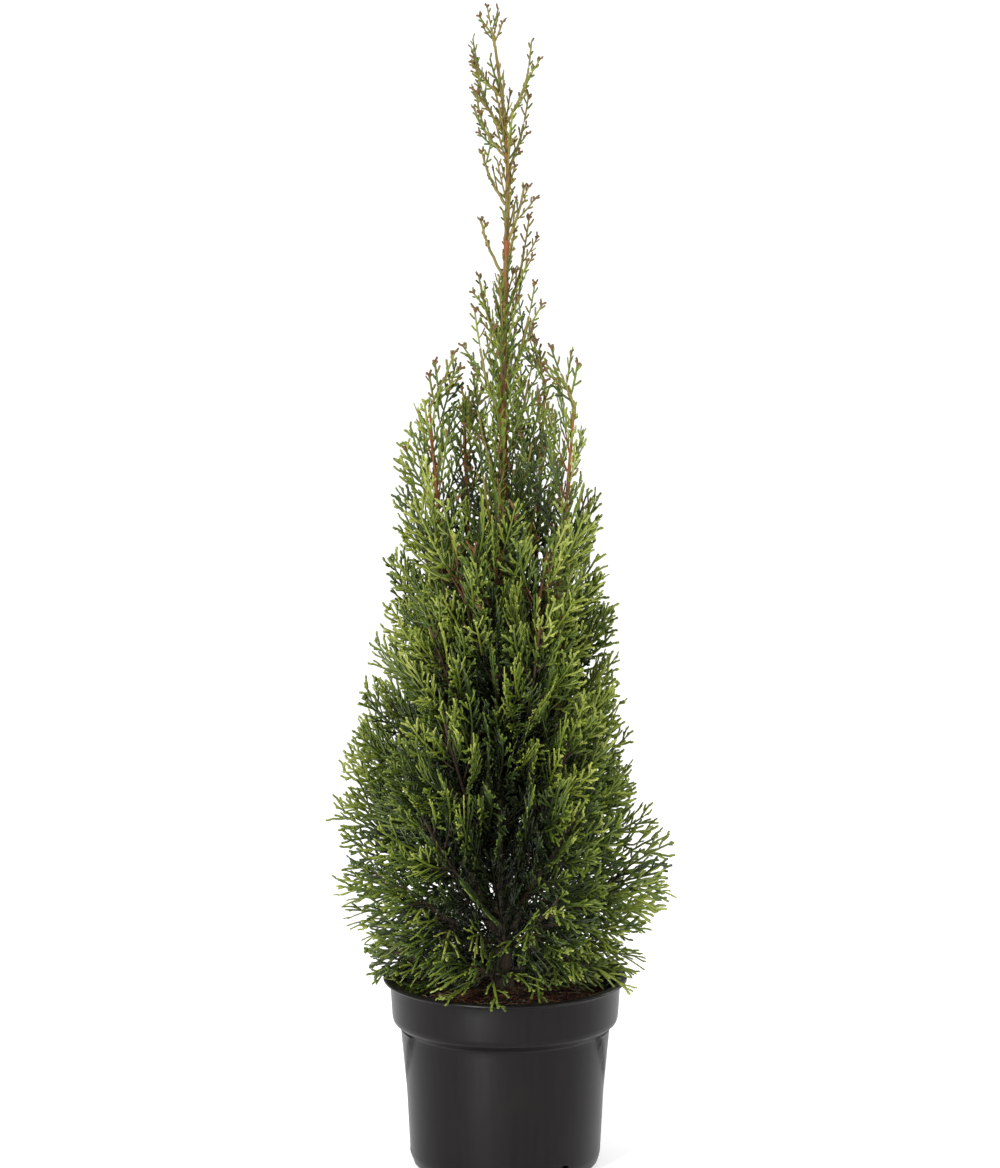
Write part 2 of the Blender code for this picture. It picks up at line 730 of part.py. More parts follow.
def grow(mass, number, space):
    """The stem of the mass, and every blade on it that keeps to its space and clear of the others."""
    rng = random.Random(mass.seed)
    us = np.linspace(0, 1, len(mass.spine))
    across = bearing(0.0) if mass.foot[2] > 0.5 else np.cross(UP, mass.foot)
    stem = tube(mass.spine, [mass.radius(u) for u in us], 3, mass.foot, across)
    size = BLADE_SIZES[mass.kind]
    pieces, taken = [], np.full((1, 3), 9.0)
    if mass.kind in CORE_RADII:
        pieces.append(core(mass, number, space))
    for k in range(mass.blades):
        length = mass.blade_length * rng.uniform(0.9, 1.1)
        for shrink in SHRINKS:
            u, place, heading, turn_to, roll = blade_settings(mass, k, rng)
            root = place - mass.tangent(u) * 0.0015
            verts, faces = blade(root, heading, turn_to, roll, length * shrink, size)
            tested = edge_points(verts, faces)
            if space.off_limbs(tested).min() < LIMB_CLEAR:
                continue
            tested = tested[nearest(tested, place[None, :]) > ROOT_FREE]
            if nearest(tested, taken).min() < BLADE_CLEAR or not space.holds(number, tested):
                continue
            pieces.append((verts, faces))
            taken = np.concatenate([taken, tested])
            break
    return stem, pieces


def make_mass(mass, number, space, material):
    (verts, faces), pieces = grow(mass, number, space)
    obj = new_object(mass.name, verts, faces, material, at=mass.spine[0])
    joined = bpy.data.collections.new("joined")
    bpy.context.scene.collection.children.link(joined)
    for piece_verts, piece_faces in pieces:
        new_object("piece", piece_verts, piece_faces, collection=joined)
    union = obj.modifiers.new("join", "BOOLEAN")
    union.operation = "UNION"
    union.operand_type = "COLLECTION"
    union.collection = joined
    union.solver = "MANIFOLD"
    apply_modifiers(obj)
    for piece in list(joined.objects):
        bpy.data.objects.remove(piece, do_unlink=True)
    bpy.data.collections.remove(joined)
    return obj


def main():
    clear_scene()
    plastic = finish("pot_plastic", (0.030, 0.029, 0.029), 0.42)
    peat = finish("soil", (0.035, 0.018, 0.011), 0.95)
    bark = finish("bark", (0.22, 0.10, 0.035), 0.75)
    foliage = finish("foliage", (0.085, 0.135, 0.022), 0.55)
    parts = [make_pot(plastic), make_soil(peat), make_trunk(bark)]
    parts += [make_bough(bough, bark) for bough in BOUGHS]
    masses = tier_masses() + bough_masses() + lateral_masses()
    space = Space(masses)
    parts += [make_mass(mass, number, space, foliage) for number, mass in enumerate(masses)]
    plant = bpy.data.objects.new("potted_thuja", None)
    bpy.context.scene.collection.objects.link(plant)
    for part in parts:
        part.parent = plant


main()
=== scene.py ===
import json
import math
import random

import bpy
import numpy as np
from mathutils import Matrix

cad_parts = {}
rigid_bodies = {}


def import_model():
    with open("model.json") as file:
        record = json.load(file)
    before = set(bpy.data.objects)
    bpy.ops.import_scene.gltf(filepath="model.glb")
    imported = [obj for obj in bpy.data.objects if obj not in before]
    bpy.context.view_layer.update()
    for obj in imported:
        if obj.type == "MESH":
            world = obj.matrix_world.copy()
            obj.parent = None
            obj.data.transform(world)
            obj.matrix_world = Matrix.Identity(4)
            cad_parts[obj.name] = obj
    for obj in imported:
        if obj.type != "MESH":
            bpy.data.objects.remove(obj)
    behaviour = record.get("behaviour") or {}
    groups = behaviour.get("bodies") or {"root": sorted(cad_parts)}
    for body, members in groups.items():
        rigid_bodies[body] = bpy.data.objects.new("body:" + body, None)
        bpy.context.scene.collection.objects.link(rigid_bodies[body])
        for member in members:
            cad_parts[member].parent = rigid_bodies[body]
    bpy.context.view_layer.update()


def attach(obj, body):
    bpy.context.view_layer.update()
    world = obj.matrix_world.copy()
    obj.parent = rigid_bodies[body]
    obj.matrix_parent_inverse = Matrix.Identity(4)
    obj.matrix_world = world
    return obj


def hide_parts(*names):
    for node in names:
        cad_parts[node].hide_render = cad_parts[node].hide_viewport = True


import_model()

up = np.array((0.0, 0.0, 1.0))

cameraSettings = {
    "place": (0.0, -2.6, 0.80),
    "tiltDown": 7.55,  # degrees
    "turnLeft": 0.09,
    "lens": 105.47,  # mm, on a 36 mm sensor
}


def makeCamera(settings):
    data = bpy.data.cameras.new("photoCamera")
    data.lens = settings["lens"]
    data.sensor_width = 36
    data.clip_end = 50
    camera = bpy.data.objects.new("photoCamera", data)
    camera.location = settings["place"]
    camera.rotation_euler = (math.radians(90 - settings["tiltDown"]), 0, math.radians(settings["turnLeft"]))
    bpy.context.scene.collection.objects.link(camera)
    bpy.context.scene.camera = camera


makeCamera(cameraSettings)
print("camera placed")


# Materials

def linear(red, green, blue):
    # Each display value over 255, then the usual curve back to light: ((c + 0.055) / 1.055) to the power 2.4
    shares = (np.array((red, green, blue)) / 255 + 0.055) / 1.055
    return tuple(float(c) for c in shares ** 2.4)


class Socket:
    # A node's output that takes part in sums: each sign adds one Math node
    def __init__(self, tree, output):
        self.tree = tree
        self.output = output

    def math(self, operation, *values):
        node = self.tree.nodes.new("ShaderNodeMath")
        node.operation = operation
        for inlet, value in zip(node.inputs, values):
            if isinstance(value, Socket):
                self.tree.links.new(value.output, inlet)
            else:
                inlet.default_value = value
        return Socket(self.tree, node.outputs[0])

    def __add__(self, other):
        return self.math("ADD", self, other)

    def __radd__(self, other):
        return self.math("ADD", other, self)

    def __sub__(self, other):
        return self.math("SUBTRACT", self, other)

    def __rsub__(self, other):
        return self.math("SUBTRACT", other, self)

    def __mul__(self, other):
        return self.math("MULTIPLY", self, other)

    def __rmul__(self, other):
        return self.math("MULTIPLY", other, self)

    def __truediv__(self, other):
        return self.math("DIVIDE", self, other)

    def __rtruediv__(self, other):
        return self.math("DIVIDE", other, self)

    def clipped(self):
        return self.math("MINIMUM", self.math("MAXIMUM", self, 0.0), 1.0)


class Finish:
    # A Principled material whose nodes are added one by one
    def __init__(self, name, colour, roughness, specular=0.5):
        self.material = bpy.data.materials.new(name)
        self.material.use_nodes = True
        self.tree = self.material.node_tree
        self.shader = self.tree.nodes["Principled BSDF"]
        self.shader.inputs["Base Color"].default_value = (*colour, 1.0)
        self.shader.inputs["Roughness"].default_value = roughness
        self.shader.inputs["Specular IOR Level"].default_value = specular

    def node(self, kind, settings, values, output=0):
        node = self.tree.nodes.new(kind)
        for key, value in settings.items():
            setattr(node, key, value)
        for key, value in values.items():
            inlet = node.inputs[key]
            if isinstance(value, Socket):
                self.tree.links.new(value.output, inlet)
            else:
                inlet.default_value = value
        return Socket(self.tree, node.outputs[output])

    def place(self, stretch=(1, 1, 1)):
        # Object coordinates, each axis multiplied by stretch
        where = self.node("ShaderNodeTexCoord", {}, {}, "Object")
        return self.node("ShaderNodeVectorMath", {"operation": "MULTIPLY"}, {0: where, 1: stretch})

    def height(self):
        # Metres above the floor
        return self.node("ShaderNodeSeparateXYZ", {}, {0: self.place()}, "Z")

    def noise(self, vector, scale, detail=4.0, rough=0.55):
        values = {"Vector": vector, "Scale": scale, "Detail": detail, "Roughness": rough}
        return self.node("ShaderNodeTexNoise", {}, values, 0)

    def mixed(self, share, first, second):
        # Colour that goes from first to second as share goes from 0 to 1
        def full(colour):
            return colour if isinstance(colour, Socket) else (*colour, 1.0)
        settings = {"data_type": "RGBA", "clamp_factor": True}
        return self.node("ShaderNodeMix", settings, {0: share, 6: full(first), 7: full(second)}, 2)

    def use(self, **links):
        names = {"colour": "Base Color", "roughness": "Roughness", "normal": "Normal"}
        for key, value in links.items():
            self.tree.links.new(value.output, self.shader.inputs[names[key]])

    def bump(self, height, strength, distance):
        values = {"Strength": strength, "Distance": distance, "Height": height}
        return self.node("ShaderNodeBump", {}, values)


# Meshes

def unit(vectors):
    return vectors / np.maximum(np.linalg.norm(vectors, axis=-1, keepdims=True), 1e-12)


class Bundle:
    # Points and faces gathered from many shapes, then made one mesh object
    def __init__(self):
        self.points, self.corners, self.sizes, self.finishes = [], [], [], []
        self.count = 0

    def add(self, points, corners, sizes, finishes=0):
        self.points.append(points.reshape(-1, 3))
        self.corners.append(corners.ravel() + self.count)
        self.sizes.append(sizes)
        self.finishes.append(np.broadcast_to(np.asarray(finishes), (len(sizes),)))
        self.count += len(self.points[-1])

    def mesh(self, name, materials, smooth):
        points, corners, sizes, finishes = (
            np.concatenate(part) for part in (self.points, self.corners, self.sizes, self.finishes))
        starts = np.concatenate(([0], np.cumsum(sizes)[:-1]))
        mesh = bpy.data.meshes.new(name)
        mesh.vertices.add(len(points))
        mesh.vertices.foreach_set("co", points.astype(np.float32).ravel())
        mesh.loops.add(len(corners))
        mesh.polygons.add(len(sizes))
        mesh.polygons.foreach_set("loop_start", starts.astype(np.int32))
        mesh.polygons.foreach_set("vertices", corners.astype(np.int32))
        for material in materials:
            mesh.materials.append(material)
        mesh.polygons.foreach_set("material_index", finishes.astype(np.int32))
        mesh.polygons.foreach_set("use_smooth", np.full(len(sizes), smooth))
        mesh.update(calc_edges=True)
        print(name, int((sizes - 2).sum()), "triangles")
        return mesh

    def piece(self, name, materials, slot, nodes=(), smooth=True):
        piece = bpy.data.objects.new(name, self.mesh(name, materials, smooth))
        bpy.context.scene.collection.objects.link(piece)
        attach(piece, "root")
        if nodes:
            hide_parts(*nodes)
        return piece


def carryAlong(bundle, paths, widths, depths, facings, sides, finishes=0):
    # Closed rods: an ellipse of the given half width and half depth carried along each path, its width
    # square to facing. With three sides it is a flat underside and a ridge towards facing. The first and
    # last stations of a path are the points that close its ends
    along = unit(np.gradient(paths, axis=1))
    facings = facings[:, None] if facings.ndim == 2 else facings
    side = unit(np.cross(facings, along))
    facing = np.cross(along, side)
    turn = np.arange(sides) * math.tau / sides + (math.pi / 2 if sides == 3 else 0)
    wide = widths[..., None, None] * np.cos(turn)[:, None]
    deep = depths[..., None, None] * np.sin(turn)[:, None]
    rings = paths[:, 1:-1, None] + side[:, 1:-1, None] * wide + facing[:, 1:-1, None] * deep
    rods, count = len(paths), paths.shape[1] - 2
    points = np.concatenate([paths[:, :1], rings.reshape(rods, -1, 3), paths[:, -1:]], axis=1)
    here = np.arange(sides)
    after = (here + 1) % sides
    last = 1 + count * sides
    foot = np.stack([here * 0, 1 + after, 1 + here], axis=1)
    row = 1 + sides * np.arange(count - 1)[:, None, None]
    body = row + np.stack([here, after, after + sides, here + sides], axis=1)
    tip = last - sides + np.stack([here, after, here * 0 + sides], axis=1)
    corners = np.concatenate([foot.ravel(), body.ravel(), tip.ravel()])
    sizes = np.concatenate([np.full(sides, 3), np.full(sides * (count - 1), 4), np.full(sides, 3)])
    corners = corners + (1 + last) * np.arange(rods)[:, None]
    finishes = np.repeat(np.broadcast_to(np.asarray(finishes), (rods,)), len(sizes))
    bundle.add(points, corners, np.tile(sizes, rods), finishes)


def cellsOf(rows, columns, closed):
    # The four corners of each cell of a grid, whose last column joins its first if closed
    here = np.arange(columns if closed else columns - 1)
    after = (here + 1) % columns
    row = columns * np.arange(rows - 1)[:, None, None]
    return (row + np.stack([here, after, after + columns, here + columns], axis=1)).reshape(-1, 4)


def carrySurface(bundle, grid, poles):
    # A surface on a grid that joins round, its first and last rows closed by fans to the two poles
    rows, columns = grid.shape[:2]
    cells = cellsOf(rows, columns, True)
    here = np.arange(columns)
    after = (here + 1) % columns
    first = np.stack([after, here, here * 0 + rows * columns], axis=1)
    last = (rows - 1) * columns + np.stack([here, after, here * 0 + columns + 1], axis=1)
    corners = np.concatenate([cells.ravel(), first.ravel(), last.ravel()])
    bundle.add(np.concatenate([grid.reshape(-1, 3), poles]), corners,
               np.repeat((4, 3), (len(cells), 2 * columns)))


def turned(vectors, axes, angles):
    # Each vector turned about its own unit axis: v cos a + (axis x v) sin a + axis (axis . v)(1 - cos a)
    angles = np.asarray(angles)[..., None]
    kept = axes * (axes * vectors).sum(axis=-1, keepdims=True)
    return kept + (vectors - kept) * np.cos(angles) + np.cross(axes, vectors) * np.sin(angles)


def ripple(points, scale, seed):
    # Smooth lumps between -1 and 1: the mean of six sine waves that run in different directions
    rng = np.random.default_rng(seed)
    ways = unit(rng.normal(size=(6, 3))) * scale * rng.uniform(0.6, 1.6, (6, 1))
    return np.sin(points @ ways.T + rng.uniform(0, math.tau, 6)).mean(axis=-1) * 1.8


# Pot

pot = {
    "height": 0.148,
    "rimRadius": 0.095,
    "collarTop": 0.0896,
    "collarFoot": 0.0877,
    "collarDepth": 0.0335,
    "bodyTop": 0.0792,
    "bodyFoot": 0.0743,
    "bodyFootHeight": 0.009,
    "step": 0.0065,
    "footRadius": 0.0690,
    "wall": 0.0018,
    "floor": 0.003,
    "lip": 0.0022,
    "lugOut": 0.0022,
    "lugLength": 0.050,
    "lugHalfAngle": math.radians(24),
    "archCount": 6,
    "archFirst": math.radians(-52),
    "archHalfWidth": 0.0085,
    "archHeight": 0.0135,
    "segments": 216,
    "rowLength": 0.006,
}


def rounded(corners, radii, steps=4):
    # Each corner gives way to a small curve: the quadratic from a point before it to one after it
    corners, outline = np.array(corners, float), []
    for i, radius in enumerate(radii):
        if radius == 0 or i in (0, len(corners) - 1):
            outline.append(corners[i][None])
            continue
        before = corners[i] + unit(corners[i - 1] - corners[i]) * radius
        after = corners[i] + unit(corners[i + 1] - corners[i]) * radius
        t = np.linspace(0, 1, steps + 1)[:, None]
        outline.append(before * (1 - t) ** 2 + corners[i] * 2 * t * (1 - t) + after * t**2)
    return np.concatenate(outline)


def potOutline(p):
    # Radius and height of half the pot's section: from the middle of its underside up the outside, over
    # the rim and down the inside to the middle of its floor
    collarFootHeight = p["height"] - p["collarDepth"]
    bodyTopHeight = collarFootHeight - p["step"]
    outer = [
        (0.0, 0.0), (p["footRadius"] - 0.004, 0.0), (p["footRadius"], 0.0),
        (p["footRadius"] + 0.0034, 0.0022), (p["bodyFoot"], p["bodyFootHeight"]),
        (p["bodyTop"] - 0.0003, bodyTopHeight - 0.006), (p["bodyTop"], bodyTopHeight),
        (p["collarFoot"] - 0.0008, collarFootHeight - 0.0006),
        (p["collarFoot"] + 0.0002, collarFootHeight + 0.003),
        (p["collarTop"], p["height"] - p["lip"] - 0.0014), (p["rimRadius"] - 0.0006, p["height"] - p["lip"]),
        (p["rimRadius"], p["height"] - 0.0011), (p["rimRadius"] - 0.0008, p["height"]),
    ]
    inner = [
        (p["collarTop"] - p["wall"], p["height"] - 0.0001),
        (p["collarFoot"] - p["wall"], collarFootHeight + p["wall"]),
        (p["bodyTop"] - p["wall"], bodyTopHeight + p["wall"]),
        (p["bodyFoot"] - p["wall"], p["bodyFootHeight"]),
        (p["footRadius"] - p["wall"], p["floor"]), (0.0, p["floor"]),
    ]
    radii = [0, 0, 0.0008, 0.0012, 0.002, 0, 0.0016, 0.0014, 0.0010, 0.0014, 0.0007, 0.0006, 0.0005]
    radii += [0.0012, 0.002, 0.003, 0.003, 0.001, 0]
    return rounded(outer + inner, radii)


def lugPush(angles, heights, p):
    # The two wedge lugs under the collar: they stand out most at their top and fade to nothing lower down,
    # where they are also narrower, and a soft step at each side
    top = p["height"] - p["collarDepth"] - p["step"]
    down = (top - heights) / p["lugLength"]
    side = np.abs((angles + math.pi / 2) % math.pi - math.pi / 2)
    half = p["lugHalfAngle"] * (1 - down) + math.radians(4)
    edge = np.clip((half - side) / math.radians(1.6), 0, 1)
    inside = np.clip((down + 0.02) / 0.02, 0, 1) * (down < 1)
    return p["lugOut"] * (1 - down) * edge * inside


def filledOut(outline, rowLength):
    # Points put in evenly along each straight run away from the axis that is longer than rowLength
    runs = []
    for a, b in zip(outline[:-1], outline[1:]):
        steps = int(np.linalg.norm(b - a) / rowLength) if min(a[0], b[0]) > 0.02 else 1
        runs.append(a + (b - a) * np.linspace(0, 1, max(1, steps), endpoint=False)[:, None])
    return np.concatenate([*runs, outline[-1:]])


def makePot(p):
    # The outline turned about the upright axis, with its outer rows pushed out where the lugs are
    outline = filledOut(potOutline(p), p["rowLength"])
    angles = np.arange(p["segments"]) * math.tau / p["segments"]
    radii = np.broadcast_to(outline[1:-1, :1], (len(outline) - 2, len(angles))).copy()
    heights = np.broadcast_to(outline[1:-1, 1:], radii.shape)
    outside = np.arange(len(radii))[:, None] < np.argmax(outline[1:-1, 1])
    radii += np.where(outside, lugPush(angles[None], heights, p), 0)
    grid = np.stack([radii * np.cos(angles), radii * np.sin(angles), heights], axis=-1)
    bundle = Bundle()
    carrySurface(bundle, grid, [(0.0, 0.0, outline[0, 1]), (0.0, 0.0, outline[-1, 1])])
    piece = bundle.piece("nursery_pot", [plasticFinish()], "pot_plastic", ["pot"])
    cutArches(piece, p)
    piece.data.set_sharp_from_angle(angle=math.radians(50))


def cutArches(piece, p):
    # Half-round openings through the foot of the wall, all cut at once: each cutter is the arch's section
    # carried outwards through the wall
    bundle = Bundle()
    turn = np.linspace(0, math.pi, 17)
    section = np.stack([p["archHalfWidth"] * np.cos(turn), p["archHeight"] * np.sin(turn)], axis=1)
    section = np.concatenate([[(p["archHalfWidth"], -0.004)], section, [(-p["archHalfWidth"], -0.004)]])
    count = len(section)
    for k in range(p["archCount"]):
        angle = p["archFirst"] + math.tau * k / p["archCount"]
        out = np.array((math.cos(angle), math.sin(angle), 0))
        side = np.array((-math.sin(angle), math.cos(angle), 0))
        flat = side * section[:, :1] + up * section[:, 1:]
        ends = out * (p["footRadius"] - 0.010) + flat, out * (p["bodyFoot"] + 0.010) + flat
        here = np.arange(count)
        corners = np.concatenate([here[::-1], here + count, cellsOf(2, count, True).ravel()])
        bundle.add(np.concatenate(ends), corners, np.array([count, count] + [4] * count))
    cutter = bpy.data.objects.new("archCutter", bundle.mesh("archCutter", [], False))
    bpy.context.scene.collection.objects.link(cutter)
    cut = piece.modifiers.new("arches", "BOOLEAN")
    cut.operation, cut.solver, cut.object = "DIFFERENCE", "EXACT", cutter
    bpy.context.view_layer.update()
    graph = bpy.context.evaluated_depsgraph_get()
    mesh = bpy.data.meshes.new_from_object(piece.evaluated_get(graph), depsgraph=graph)
    piece.modifiers.clear()
    piece.data = mesh
    bpy.data.objects.remove(cutter, do_unlink=True)


def plasticFinish():
    # Charcoal moulded plastic: faint upright flow streaks, fine speckle and lighter cloudy patches
    finish = Finish("charcoalPlastic", linear(18, 16, 15), 0.30, 0.16)
    streaks = finish.noise(finish.place((1, 1, 0.06)), 260.0, 3.0)
    clouds = finish.noise(finish.place(), 22.0, 3.0)
    grain = finish.noise(finish.place(), 1500.0, 2.0)
    colour = finish.mixed((streaks - 0.35) * 2.2, linear(15, 13, 12), linear(20, 17, 16))
    colour = finish.mixed((clouds - 0.56) * 2.0, colour, linear(27, 24, 22))
    finish.use(
        colour=colour,
        roughness=0.25 + streaks * 0.05 + clouds * 0.09,
        normal=finish.bump(streaks * 0.5 + grain * 0.5, 0.025, 0.0005),
    )
    return finish.material


# Soil

soil = {
    "depth": 0.009,  # from the rim down to the soil
    "fall": 0.004,
    "level": 0.022,  # the radius from which the soil falls to the wall
    "fallEnd": 0.0855,
    "relief": 0.0016,
    "radius": 0.0862,
    "foot": 0.122,
    "rows": 120,
    "columns": 240,
    "chips": 900,
    "chipLength": (0.002, 0.0075),
    "chipWidth": (0.12, 0.42),  # half of it, as a share of the length
    "chipThickness": 0.35,  # as a share of the width
    "chipTilt": 0.28,
    "fibres": 620,
    "fibreLength": (0.006, 0.026),
    "fibreRadius": (0.00016, 0.00042),
    "fibreBend": 1.1,
    "fibreArch": 0.0012,
    "strewn": 0.083,  # chips and fibres start inside this radius
    "fibresWithin": 0.0840,
    "allWithin": 0.0858,
    "seed": 5,
}
soilHeight = pot["height"] - soil["depth"]
scrapColours = {  # dark and light
    "chip": {
        "Brown": ((52, 34, 23), (92, 62, 42)),
        "Red": ((66, 33, 23), (104, 56, 38)),
        "Grey": ((58, 50, 40), (108, 96, 76)),
    },
    "fibre": {
        "Rust": ((82, 40, 28), (124, 66, 46)),
        "Brown": ((56, 36, 25), (92, 62, 44)),
        "Straw": ((98, 78, 56), (142, 116, 86)),
    },
}


def soilSurface(x, y):
    # Level in the middle, then an even fall to the wall, with lumps of three sizes that are lower at the wall
    radius = np.hypot(x, y)
    share = np.clip((radius - soil["level"]) / (soil["fallEnd"] - soil["level"]), 0, 1)
    points = np.stack([x, y, x * 0], axis=-1)
    lumps = 0.55 * ripple(points, 260, 1) + 0.35 * ripple(points, 700, 2) + 0.25 * ripple(points, 1500, 3)
    edge = np.clip((soil["radius"] - radius) / 0.004, 0, 1)
    return soilHeight - soil["fall"] * share + soil["relief"] * lumps * (0.3 + 0.7 * edge)


def makePeat(s):
    # The soil's height over rings of points, and a skirt down inside the wall that closes the heap
    radii = np.linspace(s["radius"], 0.0006, s["rows"])[:, None]
    angles = np.arange(s["columns"]) * math.tau / s["columns"]
    x, y = radii * np.cos(angles), radii * np.sin(angles)
    top = np.stack([x, y, soilSurface(x, y)], axis=-1)
    skirt = top[:1] * (0.985, 0.985, 0.0) + up * s["foot"]
    bundle = Bundle()
    poles = [(0.0, 0.0, s["foot"]), (0.0, 0.0, float(soilSurface(0.0, 0.0)))]
    carrySurface(bundle, np.concatenate([skirt, top]), poles)
    bundle.piece("peat", [peatFinish()], "soil", ["soil"])


def strewn(s, count, rng):
    # Evenly over a disc: the radius goes with the square root of a random share
    radius = s["strewn"] * np.sqrt(rng.uniform(0.0, 1, count))
    angle = rng.uniform(0, math.tau, count)
    return radius * np.cos(angle), radius * np.sin(angle)


def makeChips(s, rng):
    # Short flat closed rods that lie tilted on the soil
    count = s["chips"]
    x, y = strewn(s, count, rng)
    heading = rng.uniform(0, math.tau, count)
    way = np.stack([np.cos(heading), np.sin(heading), rng.normal(0, s["chipTilt"], count)], axis=1)
    length = rng.uniform(*s["chipLength"], count) * rng.uniform(0.5, 1, count)
    place = np.stack([x, y, soilSurface(x, y) + rng.uniform(0.0002, 0.0012, count)], axis=1)
    shares = np.array((-0.5, -0.46, 0.0, 0.44, 0.5))
    paths = place[:, None] + way[:, None] * (length[:, None] * shares)[..., None]
    paths[:, 2] += rng.normal(0, 0.0002, (count, 3))
    wide = length[:, None] * rng.uniform(*s["chipWidth"], (count, 1)) * rng.uniform(0.6, 1, (count, 3))
    facing = unit(np.stack([rng.normal(0, 0.5, count), rng.normal(0, 0.5, count), np.ones(count)], axis=1))
    bundle = Bundle()
    carryAlong(bundle, paths, wide, wide * s["chipThickness"], facing, 5, rng.integers(0, 3, count))
    keepInWall(bundle)
    bundle.piece("bark_chips", scrapFinishes("chip", 0.85, (1, 1, 3), 900.0, 4.0, 0.5), "soil", smooth=False)


def makeFibres(s, rng):
    # Coir and roots: thin rods of equal steps whose heading turns evenly and wavers, raised in a low arch
    count = s["fibres"]
    x, y = strewn(s, count, rng)
    heading = rng.uniform(0, math.tau, count)
    length = rng.uniform(*s["fibreLength"], count)
    bend = rng.normal(0, s["fibreBend"], count)
    t = np.linspace(0, 1, 8)
    turn = heading[:, None] + bend[:, None] * t + 0.3 * np.sin(9 * t + rng.uniform(0, 6, (count, 1)))
    steps = np.stack([np.cos(turn), np.sin(turn)])[..., :-1] * (length / 7)[:, None]
    flat = np.stack([x, y])[..., None] + np.pad(np.cumsum(steps, axis=-1), ((0, 0), (0, 0), (1, 0)))
    px, py = flat / np.maximum(1, np.hypot(*flat) / s["fibresWithin"])
    arch = np.sin(math.pi * t) * np.abs(rng.normal(0, s["fibreArch"], (count, 1))) + 0.0003
    paths = np.stack([px, py, soilSurface(px, py) + arch], axis=-1)
    thick = rng.uniform(*s["fibreRadius"], (count, 1)) * np.ones((count, 6))
    bundle = Bundle()
    carryAlong(bundle, paths, thick, thick, np.tile(up, (count, 1)), 3, rng.integers(0, 3, count))
    keepInWall(bundle)
    bundle.piece("root_fibres", scrapFinishes("fibre", 0.8, (1, 1, 1), 700.0, 2.0, 0.0), "soil")


def makeSoil(s):
    rng = np.random.default_rng(s["seed"])
    makePeat(s)
    makeChips(s, rng)
    makeFibres(s, rng)


def keepInWall(bundle):
    # Points further out than the wall's inner face are drawn in to it
    points = bundle.points[-1]
    radius = np.hypot(points[:, 0], points[:, 1])
    points[:, :2] /= np.maximum(1, radius / soil["allWithin"])[:, None]


def peatFinish():
    # Dark crumbs, with redder patches
    finish = Finish("peat", linear(36, 26, 19), 0.95, 0.25)
    crumbs = finish.noise(finish.place(), 420.0, 6.0, 0.62)
    patches = finish.noise(finish.place(), 60.0, 3.0)
    colour = finish.mixed((crumbs - 0.36) * 3.2, linear(17, 12, 8), linear(52, 36, 26))
    colour = finish.mixed((patches - 0.5) * 3.0, colour, linear(62, 36, 26))
    finish.use(
        colour=colour,
        roughness=0.86 + crumbs * 0.12,
        normal=finish.bump(crumbs, 0.8, 0.0012),
    )
    return finish.material


def scrapFinishes(kind, roughness, stretch, scale, detail, relief):
    # One finish for each colour of chip or fibre, which goes from dark to light with the grain
    made = []
    for name, (dark, light) in scrapColours[kind].items():
        finish = Finish(kind + name, linear(*light), roughness, 0.3)
        grain = finish.noise(finish.place(stretch), scale, detail)
        finish.use(colour=finish.mixed((grain - 0.3) * 2.4, linear(*dark), linear(*light)))
        if relief:
            finish.use(normal=finish.bump(grain, relief, 0.0004))
        made.append(finish.material)
    return made


# Trunk and boughs, whose paths are the CAD's

trunk = {
    "gap": 0.0003,
    "height": 0.722,
    "footRadius": 0.0064,
    "tipRadius": 0.0010,
    "taper": 1.05,
    "flareOut": 0.0042,
    "flareHeight": 0.009,
    "footX": -0.002,
    "leanX": -0.0125,
    "leanFrom": 0.635,
    "leanRun": 0.12,
    "sway": 0.0022,
    "steps": 16,
    "barkRows": 420,
    "barkSides": 26,
}
boughs = {  # azimuth, height where it leaves the trunk, reach, height of its end, height of its foliage
    "left": (197, 0.045, 0.046, 0.310, 0.452),
    "right": (339, 0.046, 0.046, 0.320, 0.455),
    "front": (264, 0.076, 0.038, 0.215, 0.345),
    "back_left": (123, 0.075, 0.044, 0.285, 0.430),
    "back_right": (53, 0.045, 0.042, 0.320, 0.465),
}
boughShape = {"bow": 3.2, "footRadius": 0.0032, "endRadius": 0.0022, "barkRows": 130, "barkSides": 14}


def trunkCurve(height):
    # A slight S, and near the tip a lean to the left that grows. The radius tapers, with a flare at the foot
    t = height / trunk["height"]
    lean = np.maximum(0.0, (height - trunk["leanFrom"]) / trunk["leanRun"]) ** 1.3
    sway = trunk["sway"] * np.sin(math.tau * 1.75 * t - 1.9) * t
    x = trunk["footX"] * (1 - t) ** 2 + sway + trunk["leanX"] * lean
    y = trunk["sway"] * np.sin(math.pi * 2.3 * t + 0.6) * t
    taper = (trunk["footRadius"] - trunk["tipRadius"]) * np.maximum(0, 1 - t) ** trunk["taper"]
    return x, y, trunk["tipRadius"] + taper + trunk["flareOut"] * np.exp(-height / trunk["flareHeight"])


trunkHeights = np.array([trunk["gap"], 0.004, 0.010, 0.022]
                        + [trunk["height"] * k / trunk["steps"] for k in range(1, trunk["steps"] + 1)])
trunkTable = np.stack(trunkCurve(trunkHeights))


def trunkPoint(height):
    # The trunk's middle at heights above the soil, straight between the CAD's stations
    height = np.asarray(height, float)
    x = np.interp(height, trunkHeights, trunkTable[0])
    y = np.interp(height, trunkHeights, trunkTable[1])
    return np.stack([x, y, soilHeight + height], axis=-1)


def trunkRadius(height):
    return np.interp(height, trunkHeights, trunkTable[2])


def bearing(azimuth):
    # The level direction (cos, sin, 0) of an angle
    azimuth = np.asarray(azimuth, float)
    return np.stack([np.cos(azimuth), np.sin(azimuth), azimuth * 0], axis=-1)


